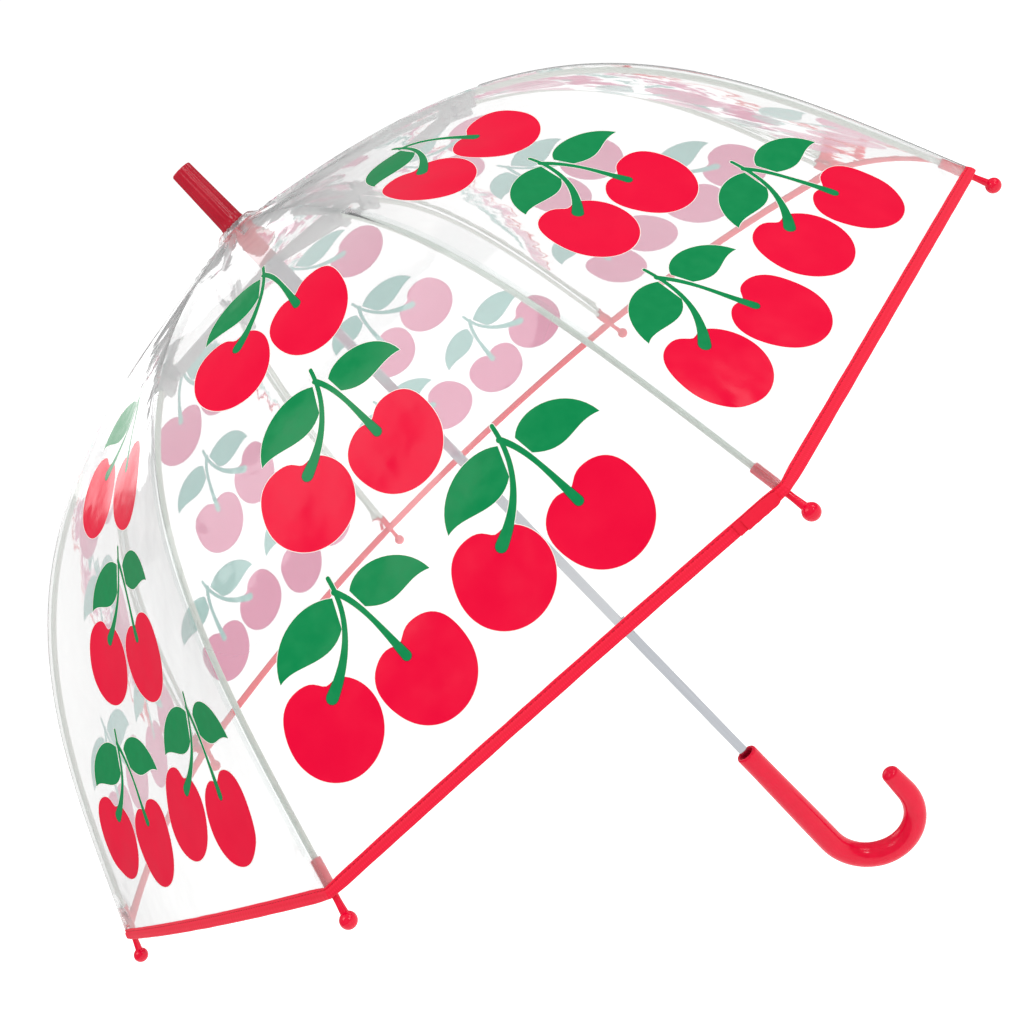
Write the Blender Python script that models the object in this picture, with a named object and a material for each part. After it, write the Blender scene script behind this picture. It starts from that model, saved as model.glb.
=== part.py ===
"""Child's clear dome umbrella: eight ribs on a runner and crown, film panels, hooked handle.

+Z runs from the handle to the ferrule. The origin is on the shaft's axis, at the middle of the grip.
Each rib is modelled once in the XZ plane and placed round the shaft.
"""

from math import asin, cos, pi, radians, sin, tan

import bmesh
import bpy
from mathutils import Matrix, Vector

RIB_COUNT = 8
GAP = 0.0003                      # between pieces that touch
STEP_ANGLE = 2 * pi / RIB_COUNT

# Shaft
SHAFT_RADIUS = 0.0036
SHAFT_WALL = 0.0006
SHAFT_SIDES = 24
ROUND_SIDES = 32                  # of the other turned pieces

# Handle
GRIP_HALF = 0.048                 # half of the straight grip, about the origin
HANDLE_TOP_RADIUS = 0.0081
HANDLE_HOOK_RADIUS = 0.0090
HANDLE_TIP_RADIUS = 0.0068
HOOK_RADIUS = 0.0337              # to the centre line
HOOK_REACH = 0.0216               # straight run after the half turn
HOOK_AZIMUTH = radians(12)
HANDLE_SOCKET = 0.036             # how deep the shaft goes in
HANDLE_LIP = 0.0018               # height of the rounded lip at its top
HANDLE_TAPER_START = 0.4          # share of the half turn after which the hook gets thinner
TIP_FLAT_RADIUS = 0.0004          # the little flat at the middle of the tip's dome
HOOK_STATIONS = 14
SHAFT_END_GAP = 0.001             # between the shaft's ends and the bottoms of its sockets

# Crown (top notch), whose wire holds the ribs
CROWN_Z = 0.550                   # height of the rib hinges
CROWN_HINGE_RADIUS = 0.0095
CROWN_RADIUS = 0.0125
CROWN_SLEEVE_RADIUS = 0.0070
CROWN_TOP = 0.0040                # flange above the hinges
CROWN_BOTTOM = 0.0045             # flange below the hinges
CROWN_SLEEVE = 0.0243             # sleeve's lower end below the hinges
CROWN_ROOF = 0.0012               # left above the slots
WIRE_RADIUS = 0.0005
CUT_PAST = 0.001                  # how far a cutter runs past the face it opens

# Ferrule
FERRULE_LENGTH = 0.047
FERRULE_BASE_RADIUS = 0.0086
FERRULE_END_RADIUS = 0.0073
FERRULE_LIFT = 0.0030             # room for the gathered film under it
FERRULE_SOCKET = 0.036
FERRULE_EDGE = 0.0008             # width of its chamfers
FLUTE_COUNT = 14
FLUTE_DEPTH = 0.0005
FLUTE_SECTION = (0, 0.35, 1, 0.35)    # share of the depth at each point round one flute

# Ribs: each bends from START to END angle below level, tightest at BEND_PEAK along it
RIB_START_ANGLE = radians(8.3)
RIB_END_ANGLE = radians(64)
ROD_END = 0.4640                  # length of the rib along its curve, from the crown hinge
BEND_PEAK = 0.247
BEND_END = ROD_END - 0.019
RIB_FLEX = 0.176                  # where the channel ends and the rod starts
CHANNEL_WIDTH = 0.0030
CHANNEL_HEIGHT = 0.0030
ROD_RADIUS = 0.0016
EYE_RADIUS = 0.0022
EYE_WIDTH = 0.0020
FLEX_GAP = 0.0008

# Bracket under each rib, beside which the stretcher ends
BRACKET_START = 0.152
BRACKET_WIDTH_FAR = 0.0022        # on the side away from the stretcher
BRACKET_DROP = 0.0075
BRACKET_WRAP = 0.0002             # how far it stands over the channel
BRACKET_SHORT = 0.0020            # before the channel's end
PIVOT_ARC = 0.161
PIVOT_DROP = 0.0045

# Tips
TIP_SLEEVE_START = ROD_END - 0.013
TIP_WALL = 0.0008
TIP_SLEEVE_RADIUS = ROD_RADIUS + GAP + TIP_WALL
TIP_SHOULDER = ROD_END + 0.0025
TIP_CHAMFER = 0.001
TIP_STEM_RADIUS = 0.0018
BALL_ARC = ROD_END + 0.019
BALL_RADIUS = 0.0044
BALL_STATIONS = 6

# Runner, whose wire holds the stretchers
RUNNER_HINGE_Z = CROWN_Z - 0.027
RUNNER_HINGE_RADIUS = 0.0090
RUNNER_RADIUS = 0.0115
RUNNER_SLEEVE_RADIUS = 0.0067
RUNNER_CORE_RADIUS = 0.0062       # inner ends of its slots
RUNNER_TOP = 0.0018
RUNNER_BOTTOM = 0.0036
RUNNER_SLEEVE = 0.044
RUNNER_CLEARANCE = 0.0003

# Stretchers, beside their ribs
STRETCHER_WIDTH = 0.0024
STRETCHER_OFFSET = (CHANNEL_WIDTH + STRETCHER_WIDTH) / 2 + GAP    # from the rib's plane to the stretcher's
STRETCHER_HEIGHT = 0.0042
STRETCHER_EYE_RADIUS = 0.0024
STRETCHER_EYE_WIDTH = STRETCHER_WIDTH * 0.96
STRETCHER_WIRE_HOLE = WIRE_RADIUS + 0.00065
STRETCHER_TAPER = 0.0060          # length over which each end narrows to its eye

# Spring catches in the shaft
CATCH_AZIMUTH = radians(22.5)
CATCH_PROUD = 0.0018
CATCH_WIDTH = 0.0020
CATCH_LENGTH = 0.014
CATCH_SLOPE = 0.6                 # share of the length that slopes
CATCH_FOOT = 0.004                # how far the foot runs past the nose, inside the shaft
CATCH_FOOT_THICKNESS = 0.0012
CATCH_BELOW_RUNNER = 0.0010

# Closed umbrella
CLOSED_PIN_RADIUS = 0.0150        # from the shaft's axis to the stretcher pins

# Film
FILM_THICKNESS = 0.0003
FILM_LIFT = TIP_SLEEVE_RADIUS + GAP   # from the rib's centre line to the film's inner face
FILM_START = 0.0075               # arc where the panels start
FILM_SAG = 0.0095                 # most that the middle of a gore sags inside the line between its ribs
FILM_LEVEL_ARC = 0.418            # past this arc the gore stands out instead, so that the hem flares
FILM_SAG_GROWTH = 2.2             # higher keeps the sag further from the crown
HEM_ARC = ROD_END + 0.006
COLLAR_THICKNESS = 0.0020
COLLAR_RADIUS = 0.0190
COLLAR_DROOP = radians(12)

CHANNEL_STATIONS = 7
ROD_STATIONS = 15
BENDING_STEP = 0.0005


def rib_angle(arc):
    """Angle of the rib below level, from a bend that grows to BEND_PEAK and then fades."""
    turn = RIB_END_ANGLE - RIB_START_ANGLE
    peak = 2 * turn / BEND_END
    if arc <= BEND_PEAK:
        return RIB_START_ANGLE + peak * arc * arc / (2 * BEND_PEAK)
    past = min(arc, BEND_END) - BEND_PEAK
    return RIB_START_ANGLE + peak * (BEND_PEAK / 2 + past - past * past / (2 * (BEND_END - BEND_PEAK)))


def rib_point(arc, lift=0.0):
    """Point in the rib's own XZ plane, with the crown hinge at zero, lifted out from the centre line."""
    steps = max(1, round(arc / BENDING_STEP))
    step = arc / steps
    x = sum(cos(rib_angle((i + 0.5) * step)) for i in range(steps)) * step
    z = -sum(sin(rib_angle((i + 0.5) * step)) for i in range(steps)) * step
    angle = rib_angle(arc)
    return Vector((x + lift * sin(angle), 0, z + lift * cos(angle)))


def rib_frame(arc, lift=0.0):
    """Local X along the rib, local Z out of the dome."""
    return Matrix.Translation(rib_point(arc, lift)) @ Matrix.Rotation(rib_angle(arc), 4, "Y")


def spread(first, last, count):
    return [first + (last - first) * i / (count - 1) for i in range(count)]


# Arcs that the rods and the film over them share, so that their facets run side by side
UPPER_ARCS = spread(0.0, RIB_FLEX, CHANNEL_STATIONS)
LOWER_ARCS = spread(RIB_FLEX, BEND_END, ROD_STATIONS)


def start_scene():
    for item in list(bpy.data.objects):
        bpy.data.objects.remove(item)


def material(name, colour, roughness, metallic=0.0, alpha=1.0):
    made = bpy.data.materials.new(name)
    made.use_nodes = True
    surface = made.node_tree.nodes["Principled BSDF"]
    surface.inputs["Base Color"].default_value = (*colour, 1)
    surface.inputs["Roughness"].default_value = roughness
    surface.inputs["Metallic"].default_value = metallic
    surface.inputs["Alpha"].default_value = alpha
    return made


def mesh_of(name, shape):
    """Makes a mesh of a finished bmesh, with its faces pointing out."""
    bmesh.ops.recalc_face_normals(shape, faces=shape.faces)
    if shape.calc_volume(signed=True) < 0:
        bmesh.ops.reverse_faces(shape, faces=shape.faces)
    mesh = bpy.data.meshes.new(name)
    shape.to_mesh(mesh)
    shape.free()
    return mesh


def place(name, mesh, finish, parent=None):
    """One object, with its own material, so each copy of a repeated piece has its own mesh."""
    mesh = mesh.copy()
    mesh.name = name
    mesh.materials.clear()
    mesh.materials.append(finish)
    mesh.shade_smooth()
    mesh.set_sharp_from_angle(angle=radians(35))
    made = bpy.data.objects.new(name, mesh)
    bpy.context.scene.collection.objects.link(made)
    made.parent = parent
    return made


def pivot(name, matrix, parent=None):
    made = bpy.data.objects.new(name, None)
    made.empty_display_size = 0.005
    bpy.context.scene.collection.objects.link(made)
    made.parent = parent
    made.matrix_local = matrix
    return made


def combined(name, base, others, operation):
    """The mesh left after adding or cutting each of the other meshes."""
    body = bpy.data.objects.new(name, base)
    bpy.context.scene.collection.objects.link(body)
    tools = []
    for other in others:
        tool = bpy.data.objects.new(name + "_tool", other)
        bpy.context.scene.collection.objects.link(tool)
        tool.hide_render = True
        tool.display_type = "WIRE"
        change = body.modifiers.new("combine", "BOOLEAN")
        change.object = tool
        change.operation = operation
        change.solver = "EXACT"
        tools.append(tool)
    graph = bpy.context.evaluated_depsgraph_get()
    mesh = bpy.data.meshes.new_from_object(body.evaluated_get(graph))
    mesh.name = name
    for item in [body, *tools]:
        bpy.data.objects.remove(item)
    return mesh


def spin_round(shape, geometry, steps):
    """A full turn about the Z axis."""
    bmesh.ops.spin(
        shape, geom=geometry, cent=(0, 0, 0), axis=(0, 0, 1), angle=2 * pi, steps=steps, use_merge=True
    )


def socket(low, high, radius):
    """Cutter for a round socket on the shaft's axis."""
    return turned("socket", [(0, low), (radius, low), (radius, high), (0, high)], SHAFT_SIDES)


def turned(name, profile, steps):
    """Turns a closed profile of (radius, height) points, or one whose ends are on the axis."""
    shape = bmesh.new()
    points = [shape.verts.new((radius, 0, height)) for radius, height in profile]
    on_axis = profile[0][0] == 0 and profile[-1][0] == 0
    pairs = list(zip(points, points[1:])) + ([] if on_axis else [(points[-1], points[0])])
    edges = [shape.edges.new(pair) for pair in pairs]
    spin_round(shape, points + edges, steps)
    bmesh.ops.remove_doubles(shape, verts=shape.verts, dist=1e-6)
    bmesh.ops.dissolve_degenerate(shape, edges=shape.edges, dist=1e-6)
    return mesh_of(name, shape)


def block(name, low, high, matrix=Matrix()):
    shape = bmesh.new()
    low, high = Vector(low), Vector(high)
    size = high - low
    centre = matrix @ Matrix.Translation((low + high) / 2)
    bmesh.ops.create_cube(shape, size=1, matrix=centre @ Matrix.Diagonal((*size, 1)))
    return mesh_of(name, shape)


def disc(name, radius, width, hole, sides=12):
    """A flat eye about the Y axis, with a hole through it."""
    half = width / 2
    mesh = turned(name, [(hole, -half), (radius, -half), (radius, half), (hole, half)], sides)
    mesh.transform(Matrix.Rotation(pi / 2, 4, "X"))
    return mesh


def swept(name, frames, sides, flat=False):
    """Runs a section through (matrix, half width, half height) frames and closes both ends."""
    shape = bmesh.new()
    corner = 2 ** 0.5 if flat else 1
    loops = []
    for frame, half_width, half_height in frames:
        size = Matrix.Diagonal((1, half_width * corner, half_height * corner, 1))
        turn = Matrix.Rotation(pi / 2, 4, "Y") @ Matrix.Rotation(pi / 4 if flat else 0, 4, "Z")
        ring = bmesh.ops.create_circle(shape, segments=sides, radius=1, matrix=frame @ size @ turn)
        loops.append(list({edge for vert in ring["verts"] for edge in vert.link_edges}))
    for first, second in zip(loops, loops[1:]):
        bmesh.ops.bridge_loops(shape, edges=first + second)
    for loop in (loops[0], loops[-1]):
        bmesh.ops.contextual_create(shape, geom=loop)
    return mesh_of(name, shape)


def wire_ring(name, ring_radius, height):
    """A closed round wire about the shaft."""
    shape = bmesh.new()
    section = Matrix.Translation((ring_radius, 0, height)) @ Matrix.Rotation(pi / 2, 4, "X")
    ring = bmesh.ops.create_circle(shape, segments=6, radius=WIRE_RADIUS, matrix=section)
    edges = list({edge for vert in ring["verts"] for edge in vert.link_edges})
    spin_round(shape, ring["verts"] + edges, ROUND_SIDES)
    return mesh_of(name, shape)


def slots(name, inner, width, offset, low, high):
    """Cutters for the slots round a flange, each running outward from the inner radius."""
    shape = bmesh.new()
    length = 2 * CROWN_RADIUS
    for index in range(RIB_COUNT):
        turn = Matrix.Rotation(index * STEP_ANGLE, 4, "Z")
        centre = Matrix.Translation((inner + length / 2, offset, (low + high) / 2))
        size = Matrix.Diagonal((length, width, high - low, 1))
        bmesh.ops.create_cube(shape, size=1, matrix=turn @ centre @ size)
    return mesh_of(name, shape)


def shaft_top():
    return CROWN_Z + CROWN_TOP + FERRULE_LIFT + FERRULE_SOCKET - SHAFT_END_GAP


def runner_bottom():
    return RUNNER_HINGE_Z - RUNNER_BOTTOM - RUNNER_SLEEVE


def pin_point():
    """Where a stretcher meets its rib's bracket, in the rib's plane, with the shaft's axis at zero."""
    return rib_frame(PIVOT_ARC) @ Vector((0, 0, -PIVOT_DROP)) + Vector((CROWN_HINGE_RADIUS, 0, CROWN_Z))


def runner_travel():
    """How far the runner slides from the open umbrella to the closed one."""
    pin = pin_point()
    to_crown = (pin - Vector((CROWN_HINGE_RADIUS, 0, CROWN_Z))).length
    to_runner = (pin - Vector((RUNNER_HINGE_RADIUS, 0, RUNNER_HINGE_Z))).length
    crown_drop = (to_crown ** 2 - (CLOSED_PIN_RADIUS - CROWN_HINGE_RADIUS) ** 2) ** 0.5
    runner_drop = (to_runner ** 2 - (CLOSED_PIN_RADIUS - RUNNER_HINGE_RADIUS) ** 2) ** 0.5
    return crown_drop + runner_drop - (CROWN_Z - RUNNER_HINGE_Z)


def catch_heights():
    top = runner_bottom() - CATCH_BELOW_RUNNER - CATCH_LENGTH / 2
    return {"top_catch": top, "bottom_catch": top - runner_travel()}


def make_shaft(finish):
    low = GRIP_HALF - HANDLE_SOCKET + SHAFT_END_GAP
    high = shaft_top()
    inner = SHAFT_RADIUS - SHAFT_WALL
    profile = [(inner, low), (SHAFT_RADIUS, low), (SHAFT_RADIUS, high), (inner, high)]
    tube = turned("tube", profile, SHAFT_SIDES)
    half_width = CATCH_WIDTH / 2 + GAP
    half_length = CATCH_LENGTH / 2 + GAP
    windows = [
        block(
            "window",
            (0, -half_width, height - half_length),
            (SHAFT_RADIUS * 2, half_width, height + half_length),
            Matrix.Rotation(CATCH_AZIMUTH, 4, "Z"),
        )
        for height in catch_heights().values()
    ]
    place("shaft", combined("shaft", tube, windows, "DIFFERENCE"), finish)


def make_catches(finish):
    """Sprung noses that stand out of the shaft under the runner, at both ends of its travel."""
    inner = SHAFT_RADIUS - SHAFT_WALL
    foot_high = inner - 5 * GAP / 2
    foot_low = foot_high - CATCH_FOOT_THICKNESS
    tip = SHAFT_RADIUS + CATCH_PROUD
    half = CATCH_LENGTH / 2
    half_width = CATCH_WIDTH / 2
    slope_end = -half + CATCH_LENGTH * CATCH_SLOPE
    outline = [(foot_low, -half), (inner, -half), (tip, slope_end), (tip, half), (foot_low, half)]
    for name, height in catch_heights().items():
        turn = Matrix.Rotation(CATCH_AZIMUTH, 4, "Z")
        empty = pivot(name + "_slide", Matrix.Translation((0, 0, height)) @ turn)
        nose = bmesh.new()
        points = [nose.verts.new((x, -half_width, z)) for x, z in outline]
        side = nose.faces.new(points)
        grown = bmesh.ops.extrude_face_region(nose, geom=[side], use_keep_orig=True)
        moved = [item for item in grown["geom"] if isinstance(item, bmesh.types.BMVert)]
        bmesh.ops.translate(nose, verts=moved, vec=(0, CATCH_WIDTH, 0))
        body = mesh_of("nose", nose)
        foot = block("foot", (foot_low, -half_width, -half - CATCH_FOOT), (foot_high, half_width, half - GAP))
        place(name, combined(name, body, [foot], "UNION"), finish, empty)


def make_handle(finish):
    """A grip that swells downwards, half a turn of hook, and a straight run to its domed tip."""
    turn = Matrix.Rotation(HOOK_AZIMUTH, 4, "Z")
    swell = HANDLE_HOOK_RADIUS - HANDLE_TOP_RADIUS
    thinning = HANDLE_TIP_RADIUS - HANDLE_HOOK_RADIUS
    dome = HANDLE_TIP_RADIUS * 0.7    # height of the tip's dome
    dome_low = -GRIP_HALF + HOOK_REACH - dome
    frames = []

    def add(x, z, angle, radius):
        matrix = turn @ Matrix.Translation((x, 0, z)) @ Matrix.Rotation(angle, 4, "Y")
        frames.append((matrix, radius, radius))

    add(0, GRIP_HALF, pi / 2, HANDLE_TOP_RADIUS - HANDLE_LIP * 0.6)
    add(0, GRIP_HALF - HANDLE_LIP * 0.4, pi / 2, HANDLE_TOP_RADIUS - HANDLE_LIP * 0.15)
    for share in (0, 0.5, 1):
        z = GRIP_HALF - HANDLE_LIP + share * (HANDLE_LIP - 2 * GRIP_HALF)
        add(0, z, pi / 2, HANDLE_TOP_RADIUS + share * swell)
    for index in range(1, HOOK_STATIONS + 1):
        turned_share = index / HOOK_STATIONS
        angle = pi * turned_share
        radius = HANDLE_HOOK_RADIUS + thinning * max(0, turned_share - HANDLE_TAPER_START)
        add(HOOK_RADIUS * (1 - cos(angle)), -GRIP_HALF - HOOK_RADIUS * sin(angle), pi / 2 - angle, radius)
    add(2 * HOOK_RADIUS, dome_low, -pi / 2, (radius + HANDLE_TIP_RADIUS) / 2)
    for share in (0.35, 0.65, 0.88, 1.0):
        radius = HANDLE_TIP_RADIUS * (1 - share * share) ** 0.5 + TIP_FLAT_RADIUS
        add(2 * HOOK_RADIUS, dome_low + share * dome, -pi / 2, radius)
    body = swept("hook", frames, 20)
    cutter = socket(GRIP_HALF - HANDLE_SOCKET, GRIP_HALF + CUT_PAST, SHAFT_RADIUS + GAP)
    place("handle", combined("handle", body, [cutter], "DIFFERENCE"), finish)


def make_ferrule(finish):
    """A fluted taper with a blind socket for the shaft, and a flat end."""
    low = CROWN_Z + CROWN_TOP + FERRULE_LIFT
    shape = bmesh.new()
    per_flute = len(FLUTE_SECTION)
    levels = (
        (low, FERRULE_BASE_RADIUS - FERRULE_EDGE / 2, 0.0),
        (low + FERRULE_EDGE, FERRULE_BASE_RADIUS, 1.0),
        (low + FERRULE_LENGTH - FERRULE_EDGE, FERRULE_END_RADIUS, 1.0),
        (low + FERRULE_LENGTH, FERRULE_END_RADIUS - FERRULE_EDGE, 0.0),
    )
    loops = []
    for height, radius, depth in levels:
        level = Matrix.Translation((0, 0, height))
        sides = FLUTE_COUNT * per_flute
        ring = bmesh.ops.create_circle(shape, segments=sides, radius=radius, matrix=level)
        for index, point in enumerate(ring["verts"]):
            dip = FLUTE_SECTION[index % per_flute] * FLUTE_DEPTH * depth
            point.co.xy *= (radius - dip) / radius
        loops.append(list({edge for vert in ring["verts"] for edge in vert.link_edges}))
    for first, second in zip(loops, loops[1:]):
        bmesh.ops.bridge_loops(shape, edges=first + second)
    for loop in (loops[0], loops[-1]):
        bmesh.ops.contextual_create(shape, geom=loop)
    body = mesh_of("taper", shape)
    cutter = socket(low - CUT_PAST, low + FERRULE_SOCKET, SHAFT_RADIUS + GAP)
    place("ferrule", combined("ferrule", body, [cutter], "DIFFERENCE"), finish)


def make_collar(finish):
    """The film gathered under the ferrule, as one closed cone round the shaft."""
    top = CROWN_Z + CROWN_TOP + FERRULE_LIFT - GAP
    inner = SHAFT_RADIUS + GAP
    drop = (COLLAR_RADIUS - CROWN_RADIUS) * tan(COLLAR_DROOP)
    thick = FERRULE_LIFT - 2 * GAP
    profile = [
        (inner, top - thick),
        (CROWN_RADIUS, top - thick),
        (COLLAR_RADIUS, top - thick - drop),
        (COLLAR_RADIUS, top - thick - drop + COLLAR_THICKNESS / 3),
        (FERRULE_BASE_RADIUS, top),
        (inner, top),
    ]
    place("film_collar", turned("film_collar", profile, ROUND_SIDES), finish)


def make_crown(finish):
    groove_in = CROWN_HINGE_RADIUS - WIRE_RADIUS - GAP
    groove_out = CROWN_HINGE_RADIUS + WIRE_RADIUS + GAP
    groove_top = CROWN_Z + WIRE_RADIUS + GAP
    top = CROWN_Z + CROWN_TOP
    low = CROWN_Z - CROWN_BOTTOM
    bottom = CROWN_Z - CROWN_SLEEVE
    bore = SHAFT_RADIUS + GAP
    profile = [
        (bore, bottom), (CROWN_SLEEVE_RADIUS, bottom), (CROWN_SLEEVE_RADIUS, low),
        (groove_in, low), (groove_in, groove_top), (groove_out, groove_top), (groove_out, low),
        (CROWN_RADIUS, low), (CROWN_RADIUS, top), (bore, top),
    ]
    body = turned("crown", profile, ROUND_SIDES)
    slot_inner = CROWN_SLEEVE_RADIUS + 0.0001
    slot_width = CHANNEL_WIDTH + 2 * GAP
    cutter = slots("slots", slot_inner, slot_width, 0, low - CUT_PAST, top - CROWN_ROOF)
    place("crown", combined("crown", body, [cutter], "DIFFERENCE"), finish)


def make_runner(finish, wire_finish, parent):
    wire_circle = (RUNNER_HINGE_RADIUS ** 2 + STRETCHER_OFFSET ** 2) ** 0.5
    groove_in = wire_circle - WIRE_RADIUS - GAP
    groove_out = wire_circle + WIRE_RADIUS + GAP
    groove_low = -WIRE_RADIUS - GAP
    bottom = -RUNNER_BOTTOM - RUNNER_SLEEVE
    bore = SHAFT_RADIUS + RUNNER_CLEARANCE
    profile = [
        (bore, bottom), (RUNNER_SLEEVE_RADIUS, bottom), (RUNNER_SLEEVE_RADIUS, -RUNNER_BOTTOM),
        (RUNNER_RADIUS, -RUNNER_BOTTOM), (RUNNER_RADIUS, RUNNER_TOP), (groove_out, RUNNER_TOP),
        (groove_out, groove_low), (groove_in, groove_low), (groove_in, RUNNER_TOP), (bore, RUNNER_TOP),
    ]
    body = turned("runner", profile, ROUND_SIDES)
    slot_width = STRETCHER_WIDTH + 2 * GAP
    slot_low = -RUNNER_BOTTOM - CUT_PAST
    high = RUNNER_TOP + CUT_PAST
    cutter = slots("slots", RUNNER_CORE_RADIUS, slot_width, STRETCHER_OFFSET, slot_low, high)
    half = CATCH_WIDTH / 2 + GAP
    reach = SHAFT_RADIUS + CATCH_PROUD + GAP
    turn = Matrix.Rotation(CATCH_AZIMUTH, 4, "Z")
    key = block("key", (0, -half, bottom - CUT_PAST), (reach, half, high), turn)
    place("runner", combined("runner", body, [cutter, key], "DIFFERENCE"), finish, parent)
    place("runner_wire", wire_ring("runner_wire", wire_circle, 0), wire_finish, parent)


def upper_rib_mesh():
    """A channel from the eye at the crown to the folded bracket that the stretcher pushes."""
    half_width, half_height = CHANNEL_WIDTH / 2, CHANNEL_HEIGHT / 2
    first = WIRE_RADIUS + GAP + 0.0001
    last = RIB_FLEX - FLEX_GAP / 2
    arcs = [first] + UPPER_ARCS[1:-1] + [last]
    channel = swept("channel", [(rib_frame(arc), half_width, half_height) for arc in arcs], 4, flat=True)
    eye = disc("eye", EYE_RADIUS, EYE_WIDTH, WIRE_RADIUS + GAP)
    frame = rib_frame((BRACKET_START + last) / 2)
    length = last - BRACKET_START
    bracket = block(
        "bracket",
        (-length / 2, -BRACKET_WIDTH_FAR, -BRACKET_DROP),
        (length / 2 - BRACKET_SHORT, half_width, half_height + BRACKET_WRAP),
        frame,
    )
    return combined("rib_upper", channel, [bracket, eye], "UNION")


def lower_rib_mesh():
    """A round rod from the bracket to the tip, about the point where it bends from."""
    base = rib_point(RIB_FLEX)
    shift = Matrix.Translation(-base)
    start = RIB_FLEX + FLEX_GAP / 2
    frames = [(shift @ rib_frame(start), ROD_RADIUS * 0.5)]
    frames += [(shift @ rib_frame(start + ROD_RADIUS * 0.5), ROD_RADIUS)]
    frames += [(shift @ rib_frame(arc), ROD_RADIUS) for arc in LOWER_ARCS[1:]]
    frames += [(shift @ rib_frame(ROD_END), ROD_RADIUS)]
    return swept("rib_lower", [(frame, radius, radius) for frame, radius in frames], 8)


def tip_mesh():
    """A moulded sleeve over the rod's end, a stem that the hem hangs on, and a ball."""
    base = rib_point(RIB_FLEX)
    frame = Matrix.Translation(-base) @ rib_frame(TIP_SLEEVE_START) @ Matrix.Rotation(pi / 2, 4, "Y")
    bore = ROD_RADIUS + GAP
    depth = ROD_END + GAP - TIP_SLEEVE_START
    shoulder = TIP_SHOULDER - TIP_SLEEVE_START
    centre = BALL_ARC - TIP_SLEEVE_START
    meet = asin(TIP_STEM_RADIUS / BALL_RADIUS)
    profile = [(0, depth), (bore, depth), (bore, 0), (TIP_SLEEVE_RADIUS, 0)]
    profile += [(TIP_SLEEVE_RADIUS, shoulder - TIP_CHAMFER), (TIP_STEM_RADIUS, shoulder)]
    profile += [(TIP_STEM_RADIUS, centre - BALL_RADIUS * cos(meet))]
    for index in range(1, BALL_STATIONS):
        angle = meet + (pi - meet) * index / BALL_STATIONS
        profile.append((BALL_RADIUS * sin(angle), centre - BALL_RADIUS * cos(angle)))
    profile.append((0, centre + BALL_RADIUS))
    mesh = turned("tip", profile, 10)
    mesh.transform(frame)
    return mesh


def stretcher_mesh():
    """A bar from the runner's wire to the bracket, with an eye at each end."""
    start = Vector((RUNNER_HINGE_RADIUS, 0, RUNNER_HINGE_Z))
    run = pin_point() - start
    angle = -asin(run.z / run.length)
    turn = Matrix.Rotation(angle, 4, "Y")
    length = run.length
    half_width, half_height = STRETCHER_WIDTH / 2, STRETCHER_HEIGHT / 2
    eye_edge = STRETCHER_EYE_RADIUS * 0.7
    narrow = half_height * 0.7
    near_full = RUNNER_RADIUS - RUNNER_HINGE_RADIUS + STRETCHER_TAPER
    far_full = length - STRETCHER_TAPER - STRETCHER_EYE_RADIUS
    ends = ((eye_edge, narrow), (near_full, half_height), (far_full, half_height))
    ends += ((length - eye_edge, narrow),)
    frames = [(Matrix.Translation((x, 0, 0)), half_width, height) for x, height in ends]
    bar = swept("bar", frames, 4, flat=True)
    near = disc("near", STRETCHER_EYE_RADIUS, STRETCHER_EYE_WIDTH, STRETCHER_WIRE_HOLE)
    far = disc("far", STRETCHER_EYE_RADIUS, STRETCHER_EYE_WIDTH, WIRE_RADIUS + GAP)
    far.transform(Matrix.Translation((length, 0, 0)))
    body = combined("stretcher", bar, [near, far], "UNION")
    body.transform(Matrix.Translation((0, STRETCHER_OFFSET, 0)) @ turn)
    return body


def film_sag(arc):
    return FILM_SAG * sin(pi * (arc / FILM_LEVEL_ARC) ** FILM_SAG_GROWTH)


def film_mesh(name, arcs, base):
    """A thin closed panel over one rib, out to the middle of the gore on both sides."""
    shape = bmesh.new()
    half = pi / RIB_COUNT
    trim = GAP / 2
    layers = []
    for lift in (FILM_LIFT, FILM_LIFT + FILM_THICKNESS):
        rows = []
        for arc in arcs:
            point = rib_point(arc, lift)
            radius = point.x + CROWN_HINGE_RADIUS
            reach = radius * sin(half) * cos(half) - trim
            sag = film_sag(arc)
            inward = reach * tan(half) + sag * sin(rib_angle(arc)) * cos(half)
            row = []
            for side in (-1, 0, 1):
                x = point.x - abs(side) * inward - base.x
                y = side * (reach - sag * sin(rib_angle(arc)) * sin(half))
                z = point.z - abs(side) * sag * cos(rib_angle(arc)) - base.z
                row.append(shape.verts.new((x, y, z)))
            rows.append(row)
        layers.append(rows)
    inner, outer = layers
    for i in range(len(arcs) - 1):
        for j in (0, 1):
            for rows in (inner, outer):
                shape.faces.new((rows[i][j], rows[i][j + 1], rows[i + 1][j + 1], rows[i + 1][j]))
    for i in range(len(arcs) - 1):
        for j in (0, 2):
            shape.faces.new((inner[i][j], inner[i + 1][j], outer[i + 1][j], outer[i][j]))
    for i in (0, len(arcs) - 1):
        for j in (0, 1):
            shape.faces.new((inner[i][j], inner[i][j + 1], outer[i][j + 1], outer[i][j]))
    return mesh_of(name, shape)


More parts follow.
